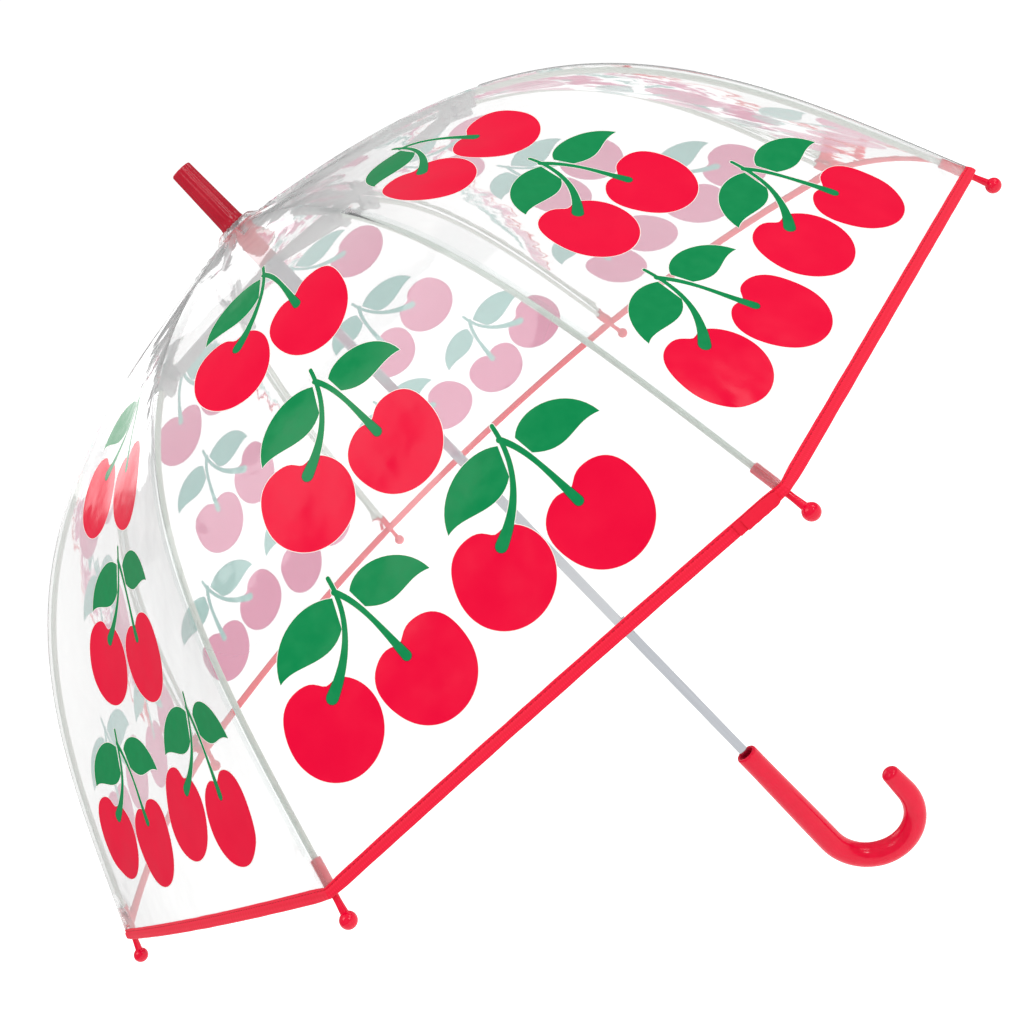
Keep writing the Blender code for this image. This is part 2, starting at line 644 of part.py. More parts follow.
def make_ribs(channel_finish, rod_finish, tip_finish, bar_finish, film_finish, runner_pivot):
    upper = upper_rib_mesh()
    lower = lower_rib_mesh()
    tip = tip_mesh()
    stretcher = stretcher_mesh()
    flex = rib_point(RIB_FLEX)
    upper_arcs = [FILM_START] + UPPER_ARCS[1:-1] + [RIB_FLEX - GAP / 2]
    lower_arcs = [RIB_FLEX + GAP / 2] + LOWER_ARCS[1:-1] + [BEND_END, HEM_ARC]
    upper_film = film_mesh("film_upper", upper_arcs, Vector())
    lower_film = film_mesh("film_lower", lower_arcs, flex)
    for index in range(RIB_COUNT):
        number = index + 1
        turn = Matrix.Rotation(index * STEP_ANGLE, 4, "Z")
        at_crown = turn @ Matrix.Translation((CROWN_HINGE_RADIUS, 0, CROWN_Z))
        at_runner = turn @ Matrix.Translation((RUNNER_HINGE_RADIUS, 0, 0))
        hinge = pivot(f"rib_{number}_hinge", at_crown)
        bend = pivot(f"rib_{number}_flex", Matrix.Translation(flex), hinge)
        root = pivot(f"stretcher_{number}_hinge", at_runner, runner_pivot)
        place(f"rib_{number}_upper", upper, channel_finish, hinge)
        place(f"rib_{number}_lower", lower, rod_finish, bend)
        place(f"tip_{number}", tip, tip_finish, bend)
        place(f"stretcher_{number}", stretcher, bar_finish, root)
        place(f"film_{number}_upper", upper_film, film_finish, hinge)
        place(f"film_{number}_lower", lower_film, film_finish, bend)


start_scene()
RED = material("red_plastic", (0.80, 0.02, 0.06), 0.25)
DEEP_RED = material("deep_red_plastic", (0.45, 0.01, 0.03), 0.35)
GREY = material("grey_plastic", (0.62, 0.63, 0.66), 0.4)
CHROME = material("chromed_steel", (0.8, 0.8, 0.82), 0.12, metallic=1.0)
STEEL = material("galvanised_steel", (0.6, 0.6, 0.62), 0.35, metallic=1.0)
GLASS_FIBRE = material("glass_fibre_rod", (0.55, 0.60, 0.54), 0.4)
WIRE_FINISH = material("steel_wire", (0.55, 0.55, 0.57), 0.3, metallic=1.0)
FILM = material("clear_film", (0.95, 0.95, 0.97), 0.08, alpha=0.3)

make_shaft(CHROME)
make_catches(STEEL)
make_handle(RED)
make_ferrule(DEEP_RED)
make_collar(FILM)
make_crown(DEEP_RED)
place("crown_wire", wire_ring("crown_wire", CROWN_HINGE_RADIUS, CROWN_Z), WIRE_FINISH)
runner_pivot = pivot("runner_slide", Matrix.Translation((0, 0, RUNNER_HINGE_Z)))
make_runner(GREY, WIRE_FINISH, runner_pivot)
make_ribs(STEEL, GLASS_FIBRE, RED, STEEL, FILM, runner_pivot)
bpy.context.view_layer.update()
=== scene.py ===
import math
import bmesh
import bpy
import numpy as np
from mathutils import Matrix, Vector, geometry, noise


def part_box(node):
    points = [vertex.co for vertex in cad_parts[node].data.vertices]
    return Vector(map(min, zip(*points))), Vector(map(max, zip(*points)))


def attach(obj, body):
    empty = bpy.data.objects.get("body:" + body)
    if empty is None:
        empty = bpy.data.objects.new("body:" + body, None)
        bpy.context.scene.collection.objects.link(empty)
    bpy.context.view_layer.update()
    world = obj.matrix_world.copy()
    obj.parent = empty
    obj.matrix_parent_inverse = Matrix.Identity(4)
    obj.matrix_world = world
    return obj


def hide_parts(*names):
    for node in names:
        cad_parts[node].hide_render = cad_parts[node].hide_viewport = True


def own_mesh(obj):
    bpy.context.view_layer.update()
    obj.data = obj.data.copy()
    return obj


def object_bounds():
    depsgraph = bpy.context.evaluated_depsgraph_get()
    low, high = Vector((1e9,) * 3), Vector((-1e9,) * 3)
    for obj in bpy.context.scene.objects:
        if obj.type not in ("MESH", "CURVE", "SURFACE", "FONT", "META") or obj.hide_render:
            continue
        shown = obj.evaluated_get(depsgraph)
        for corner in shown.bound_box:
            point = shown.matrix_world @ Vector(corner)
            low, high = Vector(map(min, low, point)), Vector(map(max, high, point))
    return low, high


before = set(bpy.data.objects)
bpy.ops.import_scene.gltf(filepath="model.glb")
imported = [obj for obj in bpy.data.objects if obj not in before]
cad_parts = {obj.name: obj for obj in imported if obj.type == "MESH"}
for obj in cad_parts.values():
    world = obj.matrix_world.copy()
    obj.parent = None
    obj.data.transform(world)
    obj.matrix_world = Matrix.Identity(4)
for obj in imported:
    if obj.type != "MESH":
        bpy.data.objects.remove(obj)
cadLow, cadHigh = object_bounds()
print("frame loaded")

ribCount = 8
stepAngle = 2 * math.pi / ribCount
halfGore = stepAngle / 2

# The rib's curve, as the frame has it: arcs run from the crown hinge, in metres
ribs = {
    "startAngle": math.radians(8.3),   # below level
    "endAngle": math.radians(64),
    "bendPeak": 0.247,
    "bendEnd": 0.445,
    "flexArc": 0.176,                  # where the steel channel ends and the rod starts
    "pivotArc": 0.161,                 # the stretcher's rivet
    "pivotDrop": 0.0045,
    "rodEnd": 0.464,
    "rodRadius": 0.0016,
    "rodSides": 14,
    "stretcherSide": 0.0030,           # the stretchers run beside the ribs
}
wireLow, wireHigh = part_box("crown_wire")
crownHeight = (wireLow.z + wireHigh.z) / 2
hingeRadius = wireHigh.x - (wireHigh.z - wireLow.z) / 2
arcTable = np.linspace(0, 0.49, 2001)


def ribAngle(arc):
    arc = np.asarray(arc, float)
    peak = 2 * (ribs["endAngle"] - ribs["startAngle"]) / ribs["bendEnd"]
    early = peak * arc * arc / (2 * ribs["bendPeak"])
    past = np.clip(arc, ribs["bendPeak"], ribs["bendEnd"]) - ribs["bendPeak"]
    fade = ribs["bendEnd"] - ribs["bendPeak"]
    late = peak * (ribs["bendPeak"] / 2 + past - past * past / (2 * fade))
    return ribs["startAngle"] + np.where(arc <= ribs["bendPeak"], early, late)


def summed(values):
    steps = (values[1:] + values[:-1]) / 2 * np.diff(arcTable)
    return np.concatenate([[0], np.cumsum(steps)])


angleTable = ribAngle(arcTable)
reachTable = hingeRadius + summed(np.cos(angleTable))
heightTable = crownHeight - summed(np.sin(angleTable))


def ribFrame(number, arc, lift=0.0, side=0.0):
    # Local X runs along the rib and local Z out of the dome
    angle = float(ribAngle(arc))
    x = float(np.interp(arc, arcTable, reachTable)) + lift * math.sin(angle)
    z = float(np.interp(arc, arcTable, heightTable)) + lift * math.cos(angle)
    turn = Matrix.Rotation((number - 1) * stepAngle, 4, "Z")
    return turn @ Matrix.Translation((x, side, z)) @ Matrix.Rotation(angle, 4, "Y")


# Camera, first of all, because everything is judged through it
view = {
    "location": (0.4684, -0.8029, 0.4880),
    "heading": 120.26,      # degrees from +X
    "pitch": -11.78,
    "roll": -44.1,
    "lens": 48.94,
}
camera = bpy.data.objects.new("camera", bpy.data.cameras.new("camera"))
bpy.context.scene.collection.objects.link(camera)
camera.data.sensor_width = 36
camera.data.lens = view["lens"]
level = Matrix.Rotation(math.radians(view["heading"] - 90), 4, "Z")
level = level @ Matrix.Rotation(math.radians(90 + view["pitch"]), 4, "X")
rolled = level @ Matrix.Rotation(math.radians(view["roll"]), 4, "Z")
camera.matrix_world = Matrix.Translation(view["location"]) @ rolled
camera.data.clip_start = 0.01
bpy.context.scene.camera = camera

studio = {
    "floorDrop": 0.45,        # the umbrella is held in the hand, so the floor is well below it
    "floorHalf": 14.0,
    "floorGlow": 0.55,        # to the camera, so that the paper is plain white
    "floorFill": 0.22,        # to the rest
    "skyStrength": 0.92,
    "skyLow": 0.74,           # dimmer low down
    "skyHigh": 0.9,
    "shineLow": 0.12,         # what gloss sees instead of the sky
    "shineHigh": 0.42,
    "skySeen": 1.15,          # to the camera, so that the background is plain white
    "viewTransform": "Standard",
}
# name: (azimuth, elevation, distance, size, power)
lamps = {
    "topSoftbox": (255, 58, 1.9, 1.0, 7.0),
    "sideSoftbox": (5, 30, 2.0, 0.8, 5.0),
    "backSoftbox": (140, 35, 2.2, 1.2, 6.0),
    "handleStrip": (330, 20, 1.6, 0.25, 2.0),
}


def srgb(code):
    # "#RRGGBB" to linear RGBA
    parts = [int(code[i:i + 2], 16) / 255 for i in (1, 3, 5)]
    return [p / 12.92 if p <= 0.04045 else ((p + 0.055) / 1.055) ** 2.4 for p in parts] + [1.0]


def addNode(tree, kind, inputs=None, **settings):
    node = tree.nodes.new("ShaderNode" + kind)
    for name, value in settings.items():
        setattr(node, name, value)
    for name, value in (inputs or {}).items():
        if isinstance(value, bpy.types.NodeSocket):
            tree.links.new(value, node.inputs[name])
        else:
            node.inputs[name].default_value = value
    return node


def lightStage():
    scene = bpy.context.scene
    scene.view_settings.view_transform = studio["viewTransform"]
    world = bpy.data.worlds.new("pale sky")
    scene.world = world
    world.use_nodes = True
    tree = world.node_tree
    background = tree.nodes["Background"]
    direction = addNode(tree, "TexCoord").outputs["Generated"]
    axes = addNode(tree, "SeparateXYZ", {"Vector": direction})
    tone = addNode(tree, "MapRange", {
        "Value": axes.outputs["Z"], "From Min": -0.5, "From Max": 0.8,
        "To Min": studio["skyLow"], "To Max": studio["skyHigh"],
    })
    # What shines is mostly dark cards between the softboxes, as in a product tent
    dark = addNode(tree, "MapRange", {
        "Value": axes.outputs["Z"], "From Min": -0.3, "From Max": 0.9,
        "To Min": studio["shineLow"], "To Max": studio["shineHigh"],
    })
    eye = addNode(tree, "LightPath")
    lit = addNode(tree, "Mix", {
        0: eye.outputs["Is Glossy Ray"], 2: tone.outputs["Result"], 3: dark.outputs["Result"],
    })
    shade = addNode(tree, "Mix", {
        0: eye.outputs["Is Camera Ray"], 2: lit.outputs[0], 3: studio["skySeen"],
    })
    tree.links.new(shade.outputs[0], background.inputs["Color"])
    background.inputs["Strength"].default_value = studio["skyStrength"]
    centre = Vector((0, 0, 0.3))
    for name, (azimuth, elevation, distance, size, power) in lamps.items():
        lamp = bpy.data.lights.new(name, "AREA")
        lamp.shape = "DISK"
        lamp.size = size
        lamp.energy = power
        stand = bpy.data.objects.new(name, lamp)
        scene.collection.objects.link(stand)
        a, e = math.radians(azimuth), math.radians(elevation)
        away = Vector((math.cos(a) * math.cos(e), math.sin(a) * math.cos(e), math.sin(e)))
        aim = away.to_track_quat("Z", "Y").to_matrix().to_4x4()
        stand.matrix_world = Matrix.Translation(centre + away * distance) @ aim
    shape = bmesh.new()
    low = Matrix.Translation((0, 0, cadLow.z - studio["floorDrop"]))
    bmesh.ops.create_grid(shape, x_segments=1, y_segments=1, size=studio["floorHalf"], matrix=low)
    mesh = bpy.data.meshes.new("floor")
    shape.to_mesh(mesh)
    shape.free()
    floor = bpy.data.objects.new("floor", mesh)
    scene.collection.objects.link(floor)
    paper = bpy.data.materials.new("matt white paper")
    paper.use_nodes = True
    surface = paper.node_tree.nodes["Principled BSDF"]
    surface.inputs["Base Color"].default_value = srgb("#FAFAF9")
    surface.inputs["Roughness"].default_value = 0.9
    surface.inputs["Specular IOR Level"].default_value = 0.1
    surface.inputs["Emission Color"].default_value = srgb("#FFFFFF")
    seen = addNode(paper.node_tree, "LightPath")
    glow = addNode(paper.node_tree, "Mix", {
        0: seen.outputs["Is Camera Ray"], 2: studio["floorFill"], 3: studio["floorGlow"],
    })
    paper.node_tree.links.new(glow.outputs[0], surface.inputs["Emission Strength"])
    mesh.materials.append(paper)
    print("camera, lights and floor made")


lightStage()


# Finishes

def newFinish(name, colour, roughness, **sockets):
    finish = bpy.data.materials.new(name)
    finish.use_nodes = True
    surface = finish.node_tree.nodes["Principled BSDF"]
    surface.inputs["Base Color"].default_value = srgb(colour)
    surface.inputs["Roughness"].default_value = roughness
    for socket, value in sockets.items():
        surface.inputs[socket.replace("_", " ")].default_value = value
    return finish


def addGrain(finish, size, stretch=(1, 1, 1), colours=None, roughness=None, relief=0.0, detail=4.0):
    # Noise of one real size in metres, which tints the colour, varies the gloss and raises the surface
    tree = finish.node_tree
    surface = tree.nodes["Principled BSDF"]
    place = addNode(tree, "TexCoord").outputs["Object"]
    scaled = addNode(tree, "Mapping", {"Vector": place, "Scale": stretch})
    grain = addNode(tree, "TexNoise", {"Vector": scaled.outputs[0], "Scale": 1 / size, "Detail": detail})
    level = grain.outputs["Fac"]
    if colours:
        tint = addNode(tree, "Mix", {0: level, 6: srgb(colours[0]), 7: srgb(colours[1])}, data_type="RGBA")
        tree.links.new(tint.outputs[2], surface.inputs["Base Color"])
    if roughness:
        gloss = addNode(tree, "MapRange", {
            "Value": level, "From Min": 0.3, "From Max": 0.7,
            "To Min": roughness[0], "To Max": roughness[1],
        })
        tree.links.new(gloss.outputs["Result"], surface.inputs["Roughness"])
    if relief:
        bump = addNode(tree, "Bump", {"Height": level, "Distance": relief, "Strength": 1.0})
        tree.links.new(bump.outputs["Normal"], surface.inputs["Normal"])
    return finish


filmLook = {
    "slackSize": 0.035,        # across one soft wave
    "rippleSize": 0.009,
    "rippleShare": 0.12,
    "throughShare": 0.55,      # of the veil that lets light through
}


def makeFilm(name, veil, gloss, creaseRelief, mirrorIndex):
    # Calendered PVC film: clear, with a milky veil from veil[0] face on to veil[1] at a slant.
    # mirrorIndex sets how strong the gloss is. It is below PVC's own 1.53, which washes the film out
    film = bpy.data.materials.new(name)
    film.use_nodes = True
    tree = film.node_tree
    tree.nodes.remove(tree.nodes["Principled BSDF"])
    place = addNode(tree, "TexCoord").outputs["Object"]
    slack = addNode(tree, "TexNoise", {"Vector": place, "Scale": 1 / filmLook["slackSize"], "Detail": 2.0})
    ripple = addNode(tree, "TexNoise", {"Vector": place, "Scale": 1 / filmLook["rippleSize"], "Detail": 1.0})
    height = addNode(tree, "Math", {
        0: ripple.outputs["Fac"], 1: filmLook["rippleShare"], 2: slack.outputs["Fac"],
    }, operation="MULTIPLY_ADD")
    bump = addNode(tree, "Bump", {"Height": height.outputs[0], "Distance": creaseRelief, "Strength": 1.0})
    normal = bump.outputs["Normal"]
    clear = addNode(tree, "BsdfTransparent", {"Color": srgb("#FDFEFE")})
    milk = addNode(tree, "BsdfDiffuse", {"Color": srgb("#F7F8F8"), "Roughness": 0.3})
    through = addNode(tree, "BsdfTranslucent", {"Color": srgb("#FBFBFB")})
    white = addNode(tree, "MixShader", {
        0: filmLook["throughShare"], 1: milk.outputs[0], 2: through.outputs[0],
    })
    slant = addNode(tree, "LayerWeight", {"Blend": 0.35})
    share = addNode(tree, "MapRange", {
        "Value": slant.outputs["Facing"], "From Min": 0.0, "From Max": 1.0,
        "To Min": veil[0], "To Max": veil[1],
    })
    body = addNode(tree, "MixShader", {
        0: share.outputs["Result"], 1: clear.outputs[0], 2: white.outputs[0],
    })
    shine = addNode(tree, "BsdfAnisotropic", {
        "Color": srgb("#FFFFFF"), "Roughness": gloss, "Normal": normal,
    })
    mirror = addNode(tree, "Fresnel", {"IOR": mirrorIndex, "Normal": normal})
    whole = addNode(tree, "MixShader", {0: mirror.outputs[0], 1: body.outputs[0], 2: shine.outputs[0]})
    tree.links.new(whole.outputs[0], tree.nodes["Material Output"].inputs["Surface"])
    return film


# Glossy moulded ABS: a slightly orange-peeled, coated-looking red
redAbs = addGrain(
    newFinish("glossy red ABS", "#EA0032", 0.18, IOR=1.53, Specular_IOR_Level=0.35),
    0.006, colours=("#E40030", "#F00438"), roughness=(0.14, 0.22), relief=0.00001, detail=1.0,
)
# Satin moulded ABS of the ferrule: deeper red, with a soft wide highlight
darkAbs = addGrain(
    newFinish("satin deep red ABS", "#B80526", 0.24, IOR=1.53),
    0.02, colours=("#B00424", "#C00829"), roughness=(0.2, 0.28), detail=1.0,
)
# Moulded ABS of the crown: a plainer, duller red
crownAbs = addGrain(
    newFinish("moulded red ABS", "#C8142F", 0.38, IOR=1.53),
    0.005, colours=("#C01029", "#D01C38"), roughness=(0.32, 0.46), relief=0.00003,
)
# Moulded polypropylene of the runner: waxy grey
greyPlastic = addGrain(
    newFinish("grey polypropylene", "#96999E", 0.42, IOR=1.49),
    0.004, colours=("#8D9096", "#A0A3A8"), roughness=(0.36, 0.5), relief=0.00003,
)
# Chrome-plated steel tube: mirror bright, with fine draw lines along it
chrome = addGrain(
    newFinish("chromed steel", "#B4B7BC", 0.09, Metallic=1.0),
    0.0008, stretch=(1, 1, 0.02), colours=("#ABAEB4", "#BEC1C6"), roughness=(0.06, 0.14),
)
# Zinc-plated strip of the rib channels and stretchers: dull silver with faint spangle
zinc = addGrain(
    newFinish("zinc-plated steel", "#BFC4C3", 0.36, Metallic=0.55),
    0.0035, colours=("#B4BAB9", "#CACFCD"), roughness=(0.3, 0.44), relief=0.000004,
)
# Drawn steel of the two ring wires and the rivets
wireSteel = addGrain(
    newFinish("drawn steel wire", "#9DA0A3", 0.28, Metallic=1.0),
    0.001, colours=("#8F9295", "#ABADB0"), roughness=(0.22, 0.36),
)
# Pultruded glass fibre: pale grey-green, with streaks along the rod
glassFibre = addGrain(
    newFinish("pultruded glass fibre", "#D2DAD0", 0.4, IOR=1.52),
    0.0012, stretch=(1, 1, 0.2), colours=("#C8D1C6", "#DDE3DA"), roughness=(0.32, 0.5),
)
# The gores, the doubled strips over the rods, and the bunched film under the ferrule
clearFilm = makeFilm("clear PVC film", (0.24, 0.66), 0.05, 0.0009, 1.45)
weldedFilm = makeFilm("welded PVC film", (0.02, 0.16), 0.12, 0.0002, 1.10)
gatheredFilm = makeFilm("gathered PVC film", (0.16, 0.5), 0.08, 0.0004, 1.3)


def makeInk(name, colour, dark, back, size):
    # Screen-printed solvent ink: even and saturated outside. From behind, its white base and the film show.
    # Its gloss is set lower than a real ink's, so that it doesn't wash the colour out
    ink = newFinish(name, colour, 0.2, IOR=1.28, Specular_IOR_Level=0.4)
    tree = ink.node_tree
    surface = tree.nodes["Principled BSDF"]
    place = addNode(tree, "TexCoord").outputs["Object"]
    cloud = addNode(tree, "TexNoise", {"Vector": place, "Scale": 1 / size, "Detail": 3.0})
    front = addNode(tree, "Mix", {
        0: cloud.outputs["Fac"], 6: srgb(dark), 7: srgb(colour),
    }, data_type="RGBA")
    side = addNode(tree, "NewGeometry").outputs["Backfacing"]
    tint = addNode(tree, "Mix", {0: side, 6: front.outputs[2], 7: srgb(back)}, data_type="RGBA")
    slack = addNode(tree, "TexNoise", {"Vector": place, "Scale": 1 / 0.03, "Detail": 2.0})
    bump = addNode(tree, "Bump", {"Height": slack.outputs["Fac"], "Distance": 0.0009, "Strength": 1.0})
    gloss = addNode(tree, "MapRange", {
        "Value": cloud.outputs["Fac"], "From Min": 0.3, "From Max": 0.7, "To Min": 0.12, "To Max": 0.26,
    })
    tree.links.new(tint.outputs[2], surface.inputs["Base Color"])
    tree.links.new(bump.outputs["Normal"], surface.inputs["Normal"])
    tree.links.new(gloss.outputs["Result"], surface.inputs["Roughness"])
    return ink


cherryInk = makeInk("red screen ink", "#EE0038", "#E40035", "#D77099", 0.02)
leafInk = makeInk("green screen ink", "#0A8D50", "#047F46", "#86BDB4", 0.006)
edgeInk = makeInk("overprinted ink edge", "#7C1031", "#660A28", "#D9A9BC", 0.006)
baseInk = makeInk("white base ink", "#F6F1EC", "#EFE9E2", "#F3EEEE", 0.01)


def makeTape():
    # Woven polyester binding. A real thread is 0.25 mm; the ribs are drawn 0.6 mm apart so that they show
    tape = newFinish("red polyester binding", "#EE0F33", 0.6, Sheen_Weight=0.06, Specular_IOR_Level=0.25)
    tree = tape.node_tree
    surface = tree.nodes["Principled BSDF"]
    strip = addNode(tree, "UVMap", uv_map="tape").outputs[0]
    weft = addNode(
        tree, "TexWave", {"Vector": strip, "Scale": 0.5 / 0.0006 / math.pi, "Distortion": 0.4},
        wave_type="BANDS",
    )
    warp = addNode(
        tree, "TexWave", {"Vector": strip, "Scale": 0.5 / 0.0008 / math.pi, "Distortion": 0.4},
        wave_type="BANDS", bands_direction="Y",
    )
    weave = addNode(tree, "Math", {0: weft.outputs["Fac"], 1: warp.outputs["Fac"]}, operation="MULTIPLY")
    tint = addNode(
        tree, "Mix", {0: weave.outputs[0], 6: srgb("#EA0A32"), 7: srgb("#FA1842")}, data_type="RGBA"
    )
    bump = addNode(tree, "Bump", {"Height": weave.outputs[0], "Distance": 0.00005, "Strength": 0.7})
    tree.links.new(tint.outputs[2], surface.inputs["Base Color"])
    tree.links.new(bump.outputs["Normal"], surface.inputs["Normal"])
    return tape


tapeCloth = makeTape()
thread = addGrain(
    newFinish("red polyester thread", "#C00626", 0.5, Specular_IOR_Level=0.3),
    0.0008, colours=("#B00422", "#D00C30"),
)
print("finishes made")


# Shapes

def finishShape(name, shape, finishes, body, smooth=math.radians(40)):
    # Turns a finished bmesh into a piece that rides on a body
    bmesh.ops.recalc_face_normals(shape, faces=shape.faces)
    mesh = bpy.data.meshes.new(name)
    shape.to_mesh(mesh)
    shape.free()
    for finish in finishes:
        mesh.materials.append(finish)
    mesh.shade_smooth()
    mesh.set_sharp_from_angle(angle=smooth)
    piece = bpy.data.objects.new(name, mesh)
    bpy.context.scene.collection.objects.link(piece)
    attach(piece, body)
    return piece


def softPower(value, power):
    return math.copysign(abs(value) ** power, value)


def bridge(shape, loops, caps=True):
    # Joins loops of edges in their order, and closes both ends
    for first, second in zip(loops, loops[1:]):
        bmesh.ops.bridge_loops(shape, edges=first + second)
    if caps:
        for loop in (loops[0], loops[-1]):
            bmesh.ops.contextual_create(shape, geom=loop)


def addSweep(shape, frames, sides, corner=1.0, caps=True):
    # Runs a section through (matrix, half width, half height) frames.
    # A corner of 1 is an ellipse, less is boxier
    loops = []
    for matrix, halfWidth, halfHeight in frames:
        ring = bmesh.ops.create_circle(shape, segments=sides, radius=1)
        for vert in ring["verts"]:
            y, z = softPower(vert.co.x, corner) * halfWidth, softPower(vert.co.y, corner) * halfHeight
            vert.co = matrix @ Vector((0, y, z))
        loops.append(list({edge for vert in ring["verts"] for edge in vert.link_edges}))
    bridge(shape, loops, caps)
    return shape


def addTurned(shape, profile, steps, matrix=Matrix()):
    # Turns (radius, height) points about Z, then places them
    points = [shape.verts.new((radius, 0, height)) for radius, height in profile]
    edges = [shape.edges.new(pair) for pair in zip(points, points[1:])]
    spun = bmesh.ops.spin(
        shape, geom=points + edges, cent=(0, 0, 0), axis=(0, 0, 1),
        angle=2 * math.pi, steps=steps, use_merge=True,
    )
    found = {v for v in points if v.is_valid}
    found |= {v for e in spun["geom_last"] if isinstance(e, bmesh.types.BMEdge) for v in e.verts}
    seen, queue = set(found), list(found)
    while queue:
        vert = queue.pop()
        for edge in vert.link_edges:
            other = edge.other_vert(vert)
            if other not in seen:
                seen.add(other)
                queue.append(other)
    bmesh.ops.transform(shape, matrix=matrix, verts=list(seen))
    bmesh.ops.remove_doubles(shape, verts=list(seen), dist=1e-6)
    return shape


def keepNode(name, finish):
    # A CAD node that stays: its loose triangles are joined for smooth shading, and its edges are eased
    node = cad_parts[name]
    node.data.materials.clear()
    node.data.materials.append(finish)
    node.data.polygons.foreach_set("use_smooth", [True] * len(node.data.polygons))
    weld = node.modifiers.new("join", "WELD")
    weld.merge_threshold = 0.00001
    ease = node.modifiers.new("ease", "BEVEL")
    ease.width = 0.00015
    ease.segments = 2
    ease.limit_method = "ANGLE"
    ease.angle_limit = math.radians(40)
    ease.harden_normals = False
    split = node.modifiers.new("creases", "EDGE_SPLIT")
    split.split_angle = math.radians(38)


# Canopy. A gore is laid out flat, with across from its middle line and along down that line from the crown

canopy = {
    "lift": 0.0031,            # film above the rib's centre line
    "startArc": 0.0045,
    "hemArc": 0.470,
    "sag": 0.0095,             # of a gore's middle inside the line between its ribs
    "levelArc": 0.418,
    "sagGrowth": 2.2,
    "rowStep": 0.0075,
    "columns": 36,
    "gatherHeight": 0.0019,    # pleats at the crown
    "gatherFull": 0.016,       # where they are at their highest
    "gatherFade": 0.036,
    "gatherCount": 22,
    "slackHeight": 0.0011,     # soft waves all over
    "hemHold": 0.02,           # the waves die out over this much above the hem
    "tipCrease": 0.0011,       # strain creases that run from the rib tips
    "tipReach": 0.028,
    "tipRays": 15,
    "foldKeep": 0.08,
    "foldLift": 0.11,          # share of a closed fold's width off the ribs; the film is not folded here
}
midLength = np.concatenate([[0], np.cumsum(np.hypot(
    np.diff(reachTable + canopy["lift"] * np.sin(angleTable)) * math.cos(halfGore),
    np.diff(heightTable + canopy["lift"] * np.cos(angleTable)),
))])


def alongOf(arc):
    return float(np.interp(arc, arcTable, midLength))


def halfWidthAt(along):
    arc = np.interp(along, midLength, arcTable)
    reach = np.interp(arc, arcTable, reachTable) + canopy["lift"] * np.sin(ribAngle(arc))
    return reach * math.sin(halfGore)


def filmRelief(gore, along, share, point):
    # Height of the film's small waves at one spot, nothing at the ribs except the crown's pleats
    azimuth = math.atan2(point.y, point.x)
    ring = Vector((math.cos(azimuth), math.sin(azimuth), 0))
    wander = noise.noise(ring * 2.3 + Vector((0, 0, along * 8)))
    pleat = math.sin(azimuth * canopy["gatherCount"] + 4 * wander) * (0.7 + 0.9 * noise.noise(ring * 3.7))
    near = min(1.0, along / canopy["gatherFull"])
    past = max(0.0, along - canopy["gatherFull"])
    rise = canopy["gatherHeight"] * near * math.exp(-past / canopy["gatherFade"]) * pleat
    free = 1 - share * share
    free *= min(1.0, max(0.0, alongOf(canopy["hemArc"]) - along - 0.004) / canopy["hemHold"])
    soft = noise.noise(point * 17) + 0.45 * noise.noise(point * 41)
    rise += canopy["slackHeight"] * free * soft
    # Creases fan out from each tip, over the last few centimetres
    width = float(halfWidthAt(along))
    inward = width * (1 - abs(share))
    below = alongOf(canopy["hemArc"]) - along
    reach = math.hypot(inward, below)
    fan = math.atan2(below, inward + 1e-6)
    fade = math.exp(-reach / canopy["tipReach"]) * min(1.0, inward / 0.004)
    fade *= min(1.0, max(0.0, below - 0.005) / 0.006)
    ray = math.sin(fan * canopy["tipRays"] + gore * 1.9 + math.copysign(1.1, share))
    return rise + canopy["tipCrease"] * fade * ray


def gorePoint(gore, across, along, lift=0.0):
    # The spot in space of a spot on the flat gore
    arc = float(np.interp(along, midLength, arcTable))
    angle = float(ribAngle(arc))
    height = canopy["lift"] + lift
    width = float(halfWidthAt(along))
    share = max(-1.0, min(1.0, across / width))
    dip = math.sin(math.pi * (arc / canopy["levelArc"]) ** canopy["sagGrowth"])
    sag = canopy["sag"] * dip * (1 - share * share)
    reach = (float(np.interp(arc, arcTable, reachTable)) + height * math.sin(angle)) * math.cos(halfGore)
    z = float(np.interp(arc, arcTable, heightTable)) + height * math.cos(angle)
    middle = (gore - 0.5) * stepAngle
    outward = Vector((math.cos(middle), math.sin(middle), 0))
    sideways = Vector((-math.sin(middle), math.cos(middle), 0))
    point = outward * (reach - sag * math.sin(angle)) + sideways * across
    point.z = z - sag * math.cos(angle)
    normal = outward * math.sin(angle) + Vector((0, 0, math.cos(angle)))
    return point + normal * filmRelief(gore, along, share, point)


